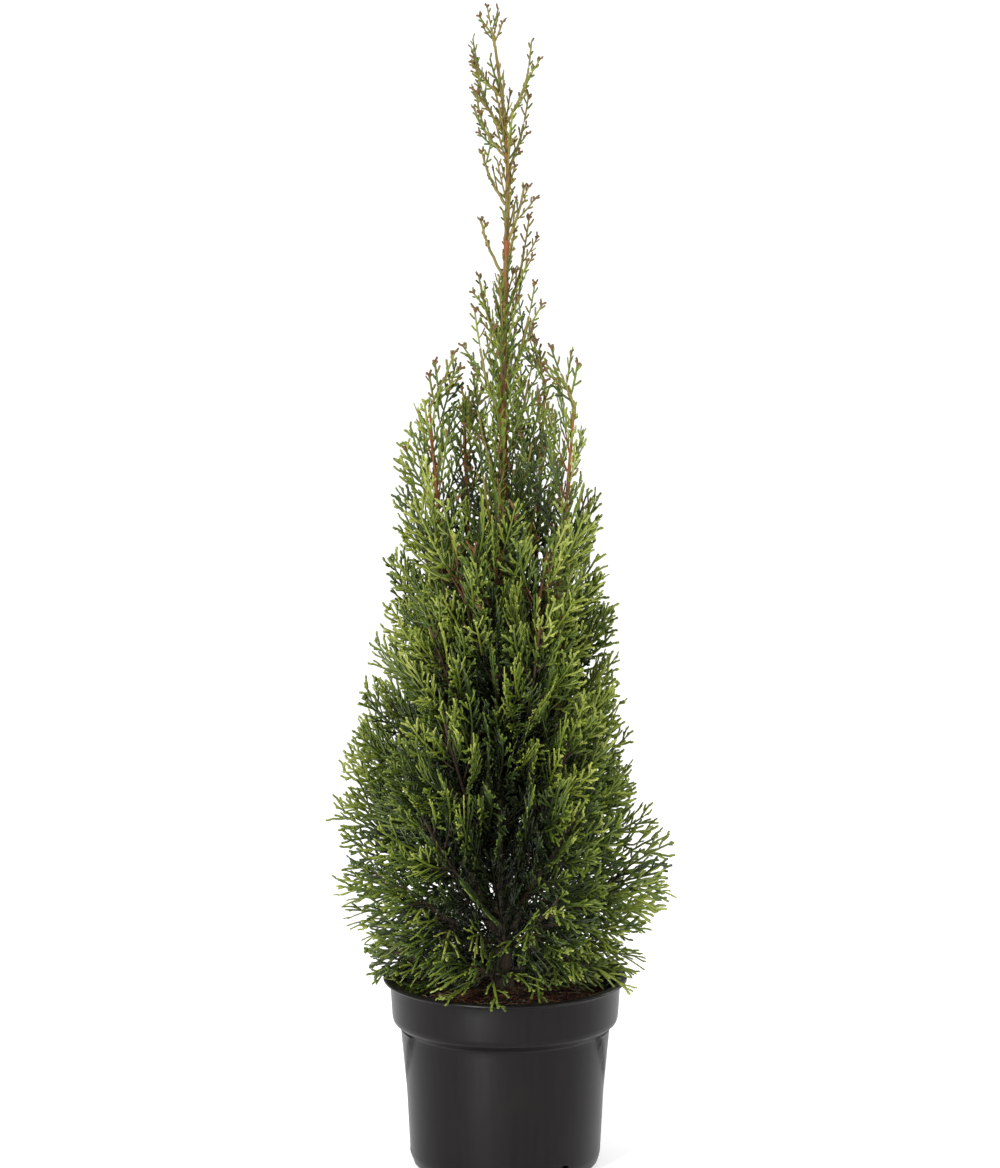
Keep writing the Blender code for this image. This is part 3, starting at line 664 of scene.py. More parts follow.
def boughPoint(name, share):
    # Out from the trunk by 1 - (1 - u) to the power bow, and straight up with u
    azimuth, foot, reach, end, _ = boughs[name]
    share = np.asarray(share, float)
    root = trunkRadius(foot) + trunk["gap"]
    across = root + (reach - root) * (1 - (1 - share) ** boughShape["bow"])
    point = trunkPoint(foot) + bearing(math.radians(azimuth)) * across[..., None]
    point[..., 2] = soilHeight + foot + (end - foot) * share
    return point


def boughRadius(share):
    return boughShape["footRadius"] + (boughShape["endRadius"] - boughShape["footRadius"]) * share


def barkRod(bundle, path, radii, sides, seed, relief):
    # A round limb with a ridged skin: a closed rod whose points are pushed in and out by small lumps,
    # drawn out along the limb
    rod = radii[None, 1:-1]
    carryAlong(bundle, path[None], rod, rod, np.array([[0.0, 1.0, 0.0]]), sides)
    skin = bundle.points[-1][1:-1]
    out = unit(skin - np.repeat(path[1:-1], sides, axis=0))
    lumps = 0.7 * ripple(skin * (1, 1, 0.16), 1500, seed) + 0.5 * ripple(skin * (1, 1, 0.5), 900, seed + 1)
    skin += out * (np.maximum(lumps, -0.7) * np.repeat(radii[1:-1], sides) * relief)[:, None]


def withEnds(rows):
    # Both ends twice over, for the points that close a rod
    return np.concatenate([rows[:1], rows, rows[-1:]])


def makeTrunk():
    bundle = Bundle()
    heights = withEnds(np.linspace(trunk["gap"], trunk["height"], trunk["barkRows"]))
    barkRod(bundle, trunkPoint(heights), trunkRadius(heights), trunk["barkSides"], 11, 0.085)
    bundle.piece("trunk_bark", [barkFinish()], "bark", ["trunk"])


def makeBoughs():
    bundle = Bundle()
    share = withEnds(np.linspace(0, 1, boughShape["barkRows"]))
    for number, name in enumerate(boughs):
        path = boughPoint(name, share)
        barkRod(bundle, path, boughRadius(share), boughShape["barkSides"], 30 + number, 0.10)
    bundle.piece("bough_bark", [barkFinish()], "bark", ["bough_" + name for name in boughs])


def barkFinish():
    # Grey-brown and dull at the foot, then red-brown peeling strips, then orange-brown and olive at the top
    finish = Finish("bark", linear(120, 78, 44), 0.72, 0.35)
    strips = finish.noise(finish.place((1, 1, 0.10)), 900.0, 5.0, 0.6)
    patches = finish.noise(finish.place((1, 1, 0.4)), 90.0, 3.0)
    height = finish.height()
    low = finish.mixed((strips - 0.34) * 3.0, linear(44, 36, 26), linear(98, 84, 62))
    red = finish.mixed((strips - 0.34) * 3.0, linear(74, 40, 20), linear(158, 92, 48))
    high = finish.mixed((patches - 0.40) * 5.0, linear(134, 74, 40), linear(122, 112, 54))
    colour = finish.mixed(((height - 0.30) / 0.14).clipped(), low, red)
    colour = finish.mixed(((height - 0.56) / 0.16 + patches * 0.5 - 0.25).clipped(), colour, high)
    colour = finish.mixed(((height - 0.77) / 0.05).clipped() * 0.8, colour, linear(118, 108, 54))
    finish.use(
        colour=colour,
        roughness=0.58 + strips * 0.3,
        normal=finish.bump(strips, 0.6, 0.0006),
    )
    return finish.material


# Foliage: masses on the CAD's stems, carried to shoots, fronds and fingers

tiers = (  # count, first azimuth, foot height, reach of the stem, its rise, length of a shoot, lowest first
    (6, 18, 0.014, 0.078, 0.022, 0.075),
    (6, 350, 0.031, 0.097, 0.056, 0.086),
    (5, 19, 0.061, 0.100, 0.092, 0.091),
    (5, 24, 0.100, 0.088, 0.124, 0.091),
    (5, 12, 0.150, 0.078, 0.140, 0.086),
    (5, 20, 0.214, 0.066, 0.140, 0.078),
)
growth = {
    "seed": 11,
    "tierCurve": 1.25,
    "boughClear": 0.0056,
    "turnsAside": (0, 5, -5, 10, -10, 15, -15, 20, -20),
    "top": math.radians(72),
    "span": math.radians(86),
    "height": 0.13,
    "goldenAngle": math.radians(137.5),
    "azimuths": (-7, 7),  # seeded changes of a mass: degrees, metres, shares, radians
    "feet": (-0.006, 0.006),
    "reaches": (0.95, 1.05),
    "sways": (-0.12, 0.12),
}
crown = {  # reach at heights above the soil, for the crown and for the leader
    "x": -0.004,
    "heights": (0.0, 0.03, 0.09, 0.12, 0.15, 0.18, 0.28, 0.34, 0.40, 0.44, 0.47, 0.50, 0.53),
    "reaches": (0.101, 0.104, 0.119, 0.118, 0.117, 0.110, 0.090, 0.081, 0.076, 0.064, 0.053, 0.036, -0.02),
    "shiftHeights": (0.03, 0.07, 0.10, 0.14, 0.18, 0.24, 0.30, 0.37, 0.42, 0.46),
    "shifts": (-0.002, -0.003, -0.009, -0.003, -0.012, -0.006, 0.000, -0.001, -0.006, -0.002),
    "hangingReach": 0.108,
    "leaderHeights": (0.30, 0.46, 0.52, 0.555, 0.59, 0.615, 0.64, 0.66, 0.68, 0.705, 0.73, 0.75, 0.77),
    "leaderReaches": (0.050, 0.034, 0.027, 0.020, 0.016, 0.015, 0.014, 0.016, 0.022, 0.024, 0.022, 0.017,
                      0.010),
    "leaderShifts": (0.002, 0.002, 0.0, 0.007, 0.011, 0.007, 0.001, 0.003, -0.001, -0.007, -0.004, -0.004,
                     -0.004),
    "freeDepth": 0.02,
    "frontLess": 0.062,
    "frontHeight": 0.036,
    "clearOfSoil": 0.004,  # sprays in front whose tips are lower than this hide the soil
    "overSoil": 0.10,  # the share of those that stay
    "proud": (0.10, 0.007),  # the share of all sprays that reach further out, and how much further
    "frondBeyond": 0.007,
    "bold": {"foliage_2_1": 0.018, "foliage_3_3": 0.004},  # sprays of these reach further out
}
clearance = {  # the lowest height of foliage at each radius: over the soil, over the rim and outside it
    "radii": (0.0, 0.080, 0.0855, 0.097, 0.104, 0.112),
    "heights": (soilHeight + 0.001, soilHeight - 0.002, pot["height"] + 0.0012, pot["height"] + 0.0012,
                0.132, 0.100),
    "soft": 0.0022,
}
stemRadii = {  # at foot and end
    "mass": (0.0018, 0.0009),
    "lateral": (0.0012, 0.0009),
    "tip": (0.0011, 0.0008),
    "wood": (0.00080, 0.00055),
}
laterals = {
    "count": 14,
    "first": 0.310,
    "last": 0.660,
    "lengths": (0.080, 0.036),
    "out": (0.24, 0.44),
    "rise": 0.84,
    "swing": math.radians(38),
    "turns": (-0.2, 0.2),
    "tip": (-0.0035, 0.0, 0.016),
}


def crownDepth(points, kind):
    # How far inside the crown a point is: the reach at its height less its distance from the middle, which
    # shifts with the height. Low down in front the reach is shorter, by the sine of the bearing, so soil
    # shows there. The leader and the hanging sprays have their own reach, and tips have no limit
    if kind in ("tip", "free"):
        return np.full(points.shape[:-1], crown["freeDepth"])
    above = points[..., 2] - soilHeight
    middle = 0.0
    if kind == "lateral":
        reach = np.interp(above, crown["leaderHeights"], crown["leaderReaches"])
        middle = np.interp(above, crown["leaderHeights"], crown["leaderShifts"])
    elif kind == "hanging":
        reach = crown["hangingReach"]
    else:
        away = np.maximum(np.hypot(points[..., 0], points[..., 1]), 1e-6)
        front = np.clip(-points[..., 1] / away, 0, 1) * np.clip(1 - above / crown["frontHeight"], 0, 1)
        reach = np.interp(above, crown["heights"], crown["reaches"]) - crown["frontLess"] * front
        middle = crown["x"] + np.interp(above, crown["shiftHeights"], crown["shifts"])
    return reach - np.hypot(points[..., 0] - middle, points[..., 1])


def aboveSoil(points):
    # Height above the line of sight to the soil, which looks a little down on it, for points in front of
    # the trunk. Points near zero or below hide the soil
    height = points[..., 2] - soilHeight
    return np.where(points[..., 1] < 0, height + 0.25 * points[..., 1], 1.0)


def growthDirection(points, centres):
    # Outward, at an elevation of top - span e^(-h / height)
    heights = np.maximum(0, points[..., 2] - soilHeight)
    elevation = growth["top"] - growth["span"] * np.exp(-heights / growth["height"])
    out = (points - centres) * np.array((1, 1, 0))
    return unit(out) * np.cos(elevation)[..., None] + up * np.sin(elevation)[..., None]


def keepOff(points):
    # Lifts points clear of soil and rim: z becomes floor + s ln(1 + e^((z - floor) / s))
    radius = np.hypot(points[..., 0], points[..., 1])
    floor = np.interp(radius, clearance["radii"], clearance["heights"])
    soft = clearance["soft"]
    lifted = floor + soft * np.logaddexp(0, (points[..., 2] - floor) / soft)
    return np.concatenate([points[..., :2], lifted[..., None]], axis=-1)


class Stem:
    # The stem of one mass, or a line that only carries shoots: its node if it has one, its points, what
    # kind of mass it is, how long its shoots are, and its radii at foot and end where it is drawn
    def __init__(self, node, line, kind, shootLength, seed, radii=None):
        self.node, self.line, self.kind = node, line, kind
        self.shootLength, self.seed, self.radii = shootLength, seed, radii

    def at(self, share):
        # The point at a share of the line, straight between its points
        place = np.asarray(share, float) * (len(self.line) - 1)
        here = np.minimum(place.astype(int), len(self.line) - 2)
        part = (place - here)[..., None]
        return self.line[here] * (1 - part) + self.line[here + 1] * part

    def tangent(self, share):
        # The direction from a little before to a little after
        share = np.asarray(share, float)
        return unit(self.at(np.minimum(1, share + 0.06)) - self.at(np.maximum(0, share - 0.06)))


def tierLine(azimuth, sway, height, far, rise):
    # Outwards by far times u, turning aside by sway u^2, and upwards by rise times u to a power
    root = trunkRadius(height) + trunk["gap"]
    u = np.linspace(0, 1, 5)
    line = trunkPoint(height) + bearing(azimuth + sway * u * u) * (root + (far - root) * u)[:, None]
    line[:, 2] += rise * u ** growth["tierCurve"]
    return line


def tierStems():
    # Evenly round the trunk with small seeded changes, each turned aside until it is clear of the boughs
    stems = []
    guard = np.concatenate([boughPoint(name, np.linspace(0, 1, 90)) for name in boughs])
    for tier, (count, first, foot, reach, rise, shootLength) in enumerate(tiers, start=1):
        for k in range(count):
            rng = random.Random(growth["seed"] + 100 * tier + k)
            azimuth = math.radians(first + 360 * k / count + rng.uniform(*growth["azimuths"]))
            height = foot + rng.uniform(*growth["feet"])
            far = reach * rng.uniform(*growth["reaches"]) + crown["x"] * math.cos(azimuth)
            sway = rng.uniform(*growth["sways"])
            for aside in growth["turnsAside"]:
                line = tierLine(azimuth + math.radians(aside), sway, height, far, rise)
                steps = line[1:] - line[:-1]
                along = np.concatenate([line[:-1] + steps * s for s in (0, 0.25, 0.5, 0.75)])
                if np.linalg.norm(along[:, None] - guard, axis=-1).min() > growth["boughClear"]:
                    break
            node = f"foliage_{tier}_{k + 1}"
            stems.append(Stem(node, line, "tier", shootLength, rng.random(), stemRadii["mass"]))
    return stems


def boughStems():
    # Straight on from the end of each bough to its tip, 12 mm outwards
    stems = []
    u = np.linspace(0, 1, 5)[:, None]
    for number, (name, (azimuth, _, _, end, tip)) in enumerate(boughs.items()):
        rng = random.Random(growth["seed"] + 900 + number)
        start = boughPoint(name, 1.0) + up * trunk["gap"]
        line = start + up * (tip - end) * u + bearing(math.radians(azimuth)) * 0.012 * u
        stems.append(Stem("foliage_bough_" + name, line, "bough", 0.060, rng.random(), stemRadii["mass"]))
    return stems


def lateralStems():
    # Left and right of the leader in turn: outwards by 1 - (1 - u)^1.4, straight up with u. The last one is
    # the leader's own tip
    stems = []
    u = np.linspace(0, 1, 4)
    for k in range(laterals["count"]):
        rng = random.Random(growth["seed"] + 1200 + k)
        share = k / (laterals["count"] - 1)
        height = laterals["first"] + (laterals["last"] - laterals["first"]) * share
        length = laterals["lengths"][0] + (laterals["lengths"][1] - laterals["lengths"][0]) * share
        azimuth = math.pi * (k % 2) + laterals["swing"] * math.sin(1.7 * k) + rng.uniform(*laterals["turns"])
        spread = laterals["out"][0] + (laterals["out"][1] - laterals["out"][0]) * share**2
        across = trunkRadius(height) + trunk["gap"] + length * spread * (1 - (1 - u) ** 1.4)
        rise = length * laterals["rise"] * u
        line = trunkPoint(height) + bearing(azimuth) * across[:, None] + up * rise[:, None]
        stems.append(Stem(f"foliage_lateral_{k + 1}", line, "lateral", 0.042 - 0.016 * share, rng.random(),
                          stemRadii["lateral"]))
    top = trunkPoint(trunk["height"]) + up * trunk["gap"]
    line = top + np.array(laterals["tip"]) * np.linspace(0, 1, 3)[:, None]
    stems.append(Stem("foliage_tip", line, "lateral", 0.018, 0.5, stemRadii["lateral"]))
    return stems


def shootPaths(roots, headings, turnTos, lengths, turn, sag, stations):
    # Each shoot leaves its root along heading and turns towards turnTo, evenly with its length, and sags
    # by its length times sag times the square of the share
    s = np.linspace(0, 1, stations)[None, :, None]
    ways = unit(headings[:, None] * (1 - turn * s) + turnTos[:, None] * turn * s)
    steps = 0.5 * (ways[:, 1:] + ways[:, :-1]) * (lengths / (stations - 1))[:, None, None]
    paths = roots[:, None] + np.concatenate([steps[:, :1] * 0, np.cumsum(steps, axis=1)], axis=1)
    paths[..., 2] -= (np.asarray(sag) * lengths)[:, None] * s[..., 0] ** 2
    return keepOff(paths), ways


def fitted(roots, headings, turnTos, lengths, turn, sag, beyond, kind):
    # Lengths cut so that each tip stays inside the crown, or as far beyond it as beyond says, but not to
    # less than a fifth
    for _ in range(2):
        paths, _ = shootPaths(roots, headings, turnTos, lengths, turn, sag, 5)
        rootDepth = np.maximum(crownDepth(roots, kind) + beyond, 0.004)
        tipDepth = crownDepth(paths[:, -1], kind) + beyond
        share = np.where(tipDepth < 0, rootDepth / (rootDepth - tipDepth), 1)
        lengths = lengths * np.clip(share, 0.2, 1)
    return lengths


def along(paths, ways, shares):
    # Points and directions at the given shares of each path: rows are paths, columns are shares
    shares = np.broadcast_to(shares, (len(paths), np.shape(shares)[-1]))
    place = shares * (paths.shape[1] - 1)
    here = np.minimum(place.astype(int), paths.shape[1] - 2)
    part = (place - here)[..., None]
    row = np.arange(len(paths))[:, None]
    points = paths[row, here] * (1 - part) + paths[row, here + 1] * part
    return points, unit(ways[row, here] * (1 - part) + ways[row, here + 1] * part)


def shootsOf(stem, style):
    # Places, headings, directions to turn to, lengths and flat sides of the shoots on one stem. They stand
    # round the stem as around says, in half turns, or else by the golden angle, at an angle to it that
    # closes towards its end. Where the style ends, the last one goes on from the stem
    rng = np.random.default_rng(int(stem.seed * 1e9) + len(style["name"]))
    count = style["shoots"]
    k = np.arange(count)
    share = k / max(1, count - 1)
    u = style["first"] + (style["last"] - style["first"]) * share
    if style["ends"]:
        u[-1] = 0.97
    tangent = stem.tangent(u)
    level = np.abs(tangent[:, 2:]) < 0.95
    aside = unit(np.where(level, np.cross(tangent, up), np.array((1.0, 0.0, 0.0))))
    angle = np.radians(style["angle"] - style["closing"] * share)
    if style["around"]:
        around = math.pi * np.array(style["around"])[k % len(style["around"])] + rng.uniform(-0.5, 0.5, count)
    else:
        around = growth["goldenAngle"] * k + rng.uniform(-0.3, 0.3, count)
    if style["ends"]:
        angle[-1] = 0
    side = turned(aside, tangent, around)
    headings = unit(tangent * np.cos(angle)[:, None] + side * np.sin(angle)[:, None])
    roots = stem.at(u)
    centres = trunkPoint(roots[:, 2] - soilHeight)
    if stem.kind == "tier":
        turnTos = growthDirection(roots + headings * 0.02, centres)
    elif stem.kind == "hanging":
        turnTos = unit(headings * np.array((1, 1, 0)) - up * 0.3)
    else:
        turnTos = unit(headings + up * 0.9)
    lengths = style["size"] * stem.shootLength * rng.uniform(0.80, 1.14, count)
    lengths *= style["inner"] + (1 - style["inner"]) * share
    steep = np.abs(headings[:, 2:]) > 0.93
    steepUp = np.stack([headings[:, 1], -headings[:, 0], k * 0 + 0.2], axis=1)
    flatUp = np.where(steep, (1.0, 0.0, 0.2) if stem.kind in ("tip", "lateral") else steepUp, up)
    lateral = unit(flatUp - headings * (flatUp * headings).sum(axis=1, keepdims=True))
    flat = math.pi / 2 if stem.kind == "hanging" else 0.0
    lateral = turned(lateral, headings, rng.uniform(-style["roll"], style["roll"], count) + flat)
    return roots, headings, turnTos, lengths, np.cross(headings, lateral)


def childrenOf(paths, ways, facings, lengths, style, rng):
    # Side shoots in the plane of their parent, left and right in turn, one for each spacing of its length,
    # and one that ends it. Their length against the parent's is share (a + b t + c t^2), with a, b, c the
    # profile and t from the first to the last, between the shortest and the longest
    rows, count = len(paths), style["most"]
    k = np.arange(count)
    run = lengths * (style["last"] - style["first"])
    number = np.clip(np.rint(run / style["spacing"]) + 1, style["least"], count)[:, None]
    t = np.minimum(1, k / np.maximum(1, number - 1))
    shares = style["first"] + (style["last"] - style["first"]) * t
    shares = shares + rng.uniform(-0.18, 0.18, (rows, count)) / number
    roots, way = along(paths, ways, np.clip(shares, 0, 0.98))
    sign = np.where(k % 2, 1.0, -1.0) * np.where(rng.random((rows, 1)) < 0.5, 1, -1)
    side = unit(np.cross(facings[:, None], way)) * sign[..., None]
    angle = np.radians(style["angle"] * (1.10 - 0.25 * t) + rng.normal(0, style["spread"], (rows, count)))
    headings = way * np.cos(angle)[..., None] + side * np.sin(angle)[..., None]
    a, b, c = style["profile"]
    size = np.maximum(lengths[:, None] * style["share"] * (a + b * t + c * t * t), style["shortest"])
    size = np.minimum(size, style["longest"]) * rng.uniform(0.78, 1.18, (rows, count))
    there = (k < number).ravel()
    parent = np.repeat(np.arange(rows), count)
    made = dict(roots=roots.reshape(-1, 3)[there], headings=headings.reshape(-1, 3)[there],
                turnTos=way.reshape(-1, 3)[there], lengths=size.ravel()[there], parent=parent[there],
                place=t.ravel()[there])
    if style["end"]:
        ends, way = along(paths, ways, (0.985,))
        last = dict(roots=ends[:, 0], headings=way[:, 0], turnTos=way[:, 0],
                    lengths=lengths * style["end"] * rng.uniform(0.85, 1.15, rows),
                    parent=np.arange(rows), place=np.ones(rows))
        made = {key: np.concatenate([made[key], last[key]]) for key in made}
    return made


# How shoots stand on a stem and what grows on them. Angles are degrees, and lengths are metres or shares
# of what carries them
fan = dict(most=15, least=3, spacing=0.0051, first=0.12, last=0.95, angle=41, spread=4, share=0.36,
           profile=(0.80, 0.75, -1.12), shortest=0.008, longest=0.034, end=0.10)
feather = dict(most=5, least=0, spacing=0.0052, first=0.36, last=0.88, angle=34, spread=5, share=0.34,
               profile=(0.95, 0.30, -0.65), shortest=0.0036, longest=0.009, end=0)
plainSpray = dict(
    closing=0, inner=1.0, roll=1.4, turn=0.85, sag=0.0, size=0.95, around=(), ends=False, first=0.0,
    last=0.97, beyond=(-0.014, -0.006), frondTurn=0.40, frondSag=0.0, tilt=0.3, lift=0.25,
    fingers=feather, droop=0.0, width=0.00095, wood=0.3, budded=0.0)
bareSpray = dict(plainSpray, frondTurn=0.35, tilt=0.2, lift=0.2, fingers=None, wood=0.0)
shortFan = dict(fan, most=8, angle=40, share=0.30, shortest=0.0042, longest=0.009, end=0.0)
styles = {
    "low": dict(
        plainSpray, shoots=12, angle=54, closing=14, inner=0.78, roll=0.9, sag=0.09, size=1.0, first=0.14,
        around=(0, 1, 0.5, 0.25, 0.75, 0.08, 0.92), ends=True, beyond=(-0.009, 0.003), wood=0.34,
        fronds=dict(fan, angle=37, share=0.46, spacing=0.0074, longest=0.040), frondTurn=0.5, frondSag=0.16,
        fingers=dict(feather, share=0.54, longest=0.018, spacing=0.0078, angle=27), droop=0.12,
        width=0.00098, tilt=0.2, lift=0.0),
    "mid": dict(
        plainSpray, shoots=21, angle=50, closing=14, inner=0.84, roll=0.7, size=1.0, first=0.16,
        around=(0, 1, 0.5, 0.2, 0.8, 1.25, -0.25), ends=True, beyond=(-0.011, 0.001),
        fronds=dict(fan, share=0.40, spacing=0.0061), frondSag=0.02, tilt=0.22, lift=0.22,
        fingers=dict(feather, share=0.41, longest=0.012, spacing=0.0063), width=0.00096),
    "inside": dict(
        plainSpray, shoots=11, angle=58, closing=10, inner=0.9, roll=1.2, turn=0.8, size=0.78, first=0.03,
        last=0.60, around=(0.5, 0.25, 0.75, 0.5), beyond=(-0.012, -0.004), lift=0.2,
        fronds=dict(fan, spacing=0.0052)),
    "hanging": dict(
        plainSpray, shoots=5, angle=46, closing=16, inner=0.95, roll=0.5, turn=0.5, sag=0.32, size=0.72,
        first=0.34, last=0.90, around=(0, 1, 0.12, 0.88), beyond=(-0.012, 0.004), frondTurn=0.45,
        fronds=dict(fan, most=7, least=4, spacing=0.0064, first=0.42, angle=42, share=0.38, longest=0.020),
        fingers=dict(feather, most=2, spacing=0.0070, longest=0.012, angle=30), droop=0.14, width=0.00112,
        tilt=0.2, lift=0.0, wood=0.40, frondSag=0.20),
    "bough": dict(
        plainSpray, shoots=20, angle=34, closing=8, ends=True, last=0.96, beyond=(-0.008, 0.002),
        fronds=dict(fan, angle=38), tilt=0.25, width=0.00092, wood=0.28, budded=0.10),
    "boughInside": dict(
        plainSpray, shoots=20, angle=40, first=0.18, last=0.98, width=0.00092,
        fronds=dict(fan, angle=38, spacing=0.0052)),
    "trunkInside": dict(
        plainSpray, shoots=40, angle=44, last=1.0, wood=0.2, fronds=dict(fan, angle=38, spacing=0.0050)),
    "tip": dict(
        bareSpray, shoots=6, angle=38, closing=6, inner=0.9, roll=0.5, turn=0.6, size=0.90, first=0.10,
        last=0.92, around=(0.5, 1.5, 0.4, 1.6), ends=True, beyond=(0.0, 0.0), width=0.00090, budded=0.8,
        fronds=dict(shortFan, most=6, spacing=0.0052, share=0.36, shortest=0.0050, longest=0.011)),
    "lateral": dict(
        bareSpray, shoots=6, angle=34, closing=6, roll=0.7, turn=0.7, size=0.90, first=0.22, last=0.94,
        around=(0, 1, 0.1, 0.9), ends=True, beyond=(-0.004, 0.006), width=0.00074, budded=0.8,
        fronds=dict(shortFan, spacing=0.0044)),
    "close": dict(
        bareSpray, shoots=68, angle=20, closing=4, turn=0.5, size=1.0, beyond=(-0.010, 0.0), width=0.00078,
        budded=0.25, fronds=dict(shortFan, spacing=0.0048, angle=38)),
}
styles["trunkLow"] = dict(styles["trunkInside"], shoots=42)
styles["insideLow"] = dict(styles["inside"], shoots=5)
styles["midLow"] = dict(
    styles["mid"], shoots=18, fronds=dict(fan, share=0.42, spacing=0.0070, longest=0.036),
    fingers=dict(feather, share=0.50, longest=0.016, spacing=0.0070, angle=31))
styles["closeLow"] = dict(
    styles["close"], shoots=44, angle=24, fronds=dict(fan, share=0.30, angle=36),
    fingers=dict(feather, longest=0.006), width=0.00080, budded=0.0)
for name in styles:
    styles[name]["name"] = name
finger = {
    "curve": 0.42,
    "stations": (0.0, 0.12, 0.36, 0.60, 0.86, 1.0),
    "widths": (0.82, 1.06, 0.90, 1.04),
    "broad": 1.15,
    "thick": 0.6,
}
# The two darkest greens are mostly painted shade, taken by the fronds deep inside the crown
leafColours = {
    "greenShadeDeep": (22, 32, 10),
    "greenShade": (38, 52, 15),
    "greenDark": (57, 73, 21),
    "greenMiddle": (79, 97, 29),
    "greenFresh": (103, 120, 35),
    "greenBright": (131, 144, 49),
    "greenPale": (158, 167, 77),
    "oliveTip": (126, 114, 48),
    "bronzeTip": (108, 80, 40),
}
palest, olive, bronze = (list(leafColours).index(name) for name in ("greenPale", "oliveTip", "bronzeTip"))
brightness = {  # which leaf colour a frond takes, counted from the deepest
    "outside": 3.6,
    "depth": (0.06, 3.9),  # painted shade deep in the crown: at this depth darker by this much
    "low": (0.20, 0.6),  # from this height on brighter by this much
    "high": (0.45, 0.7),
    "kinds": {"hanging": 4.2, "lateral": 3.9, "tip": 3.9},
    "spray": 0.8,  # seeded change of a spray
    "frond": 0.4,
    "tipOlive": 0.35,
    "leaderOlive": (0.50, 0.16, 0.7),  # the height where it starts, how fast it rises, and the most
}


def tonesOf(points, rng, spray, tipward, kind):
    # Which green each frond takes: darker deep inside the crown, which is painted shade, and darker low down,
    # brighter at the outside and the tips, with a shift for the whole spray that it is in. A share of the
    # leader's and the tips' are olive
    height = points[:, 2] - soilHeight
    if kind in brightness["kinds"]:
        tones = np.full(len(points), brightness["kinds"][kind])
    else:
        # Painted shade: the deeper a frond is inside the crown, the darker its green
        deep, darker = brightness["depth"]
        tones = brightness["outside"] - np.clip(crownDepth(points, kind), 0, deep) / deep * darker
        for full, brighter in (brightness["low"], brightness["high"]):
            tones = tones + np.clip(height / full, 0, 1) * brighter
    tones = tones + spray + tipward + rng.normal(0, brightness["frond"], len(points))
    tones = np.clip(np.rint(tones), 0, palest).astype(int)
    start, run, most = brightness["leaderOlive"]
    shares = {"tip": brightness["tipOlive"], "lateral": np.clip((height - start) / run, 0, most)}
    return np.where(rng.random(len(points)) < shares.get(kind, 0.0), olive, tones)


def budded(tones, places, share, rng):
    # Towards the tips some turn olive, and the last ones bronze
    chance = rng.random(len(tones)) < share * np.clip(places * 1.6 - 0.5, 0, 1)
    return np.where(chance, np.where(places > 0.8, bronze, olive), tones)


def growStems(stems, leaves, twigs):
    # Round rods along the stems, a little wavy, whose feet reach 3 mm into what carries them
    for stem in stems:
        share = withEnds(np.linspace(0, 1, 14))
        radii = stem.radii[0] + (stem.radii[1] - stem.radii[0]) * share[None, 1:-1]
        wobble = 0.0005 * np.sin(share * 23 + stem.seed * 40)[:, None] * (0.3, 0.3, 1.0)
        line = stem.at(share) + wobble * np.clip(share * 8, 0, 1)[:, None]
        line[0] -= stem.tangent(0.0) * 0.003
        bundle, tone = (leaves, olive) if stem.kind in ("lateral", "tip") else (twigs, 0)
        carryAlong(bundle, line[None], radii, radii, np.array([[0.31, 0.95, 0.0]]), 7, tone)


def widthsOf(style, profile, count):
    # Half widths of count rods: the style's width times the profile
    return style["width"] * np.array(profile) * np.ones((count, 1))


def carryLeaf(leaves, paths, wide, facings, tone):
    # Three-sided rods, broader than they are thick
    carryAlong(leaves, paths, wide * finger["broad"], wide * finger["thick"], facings, 3, tone)


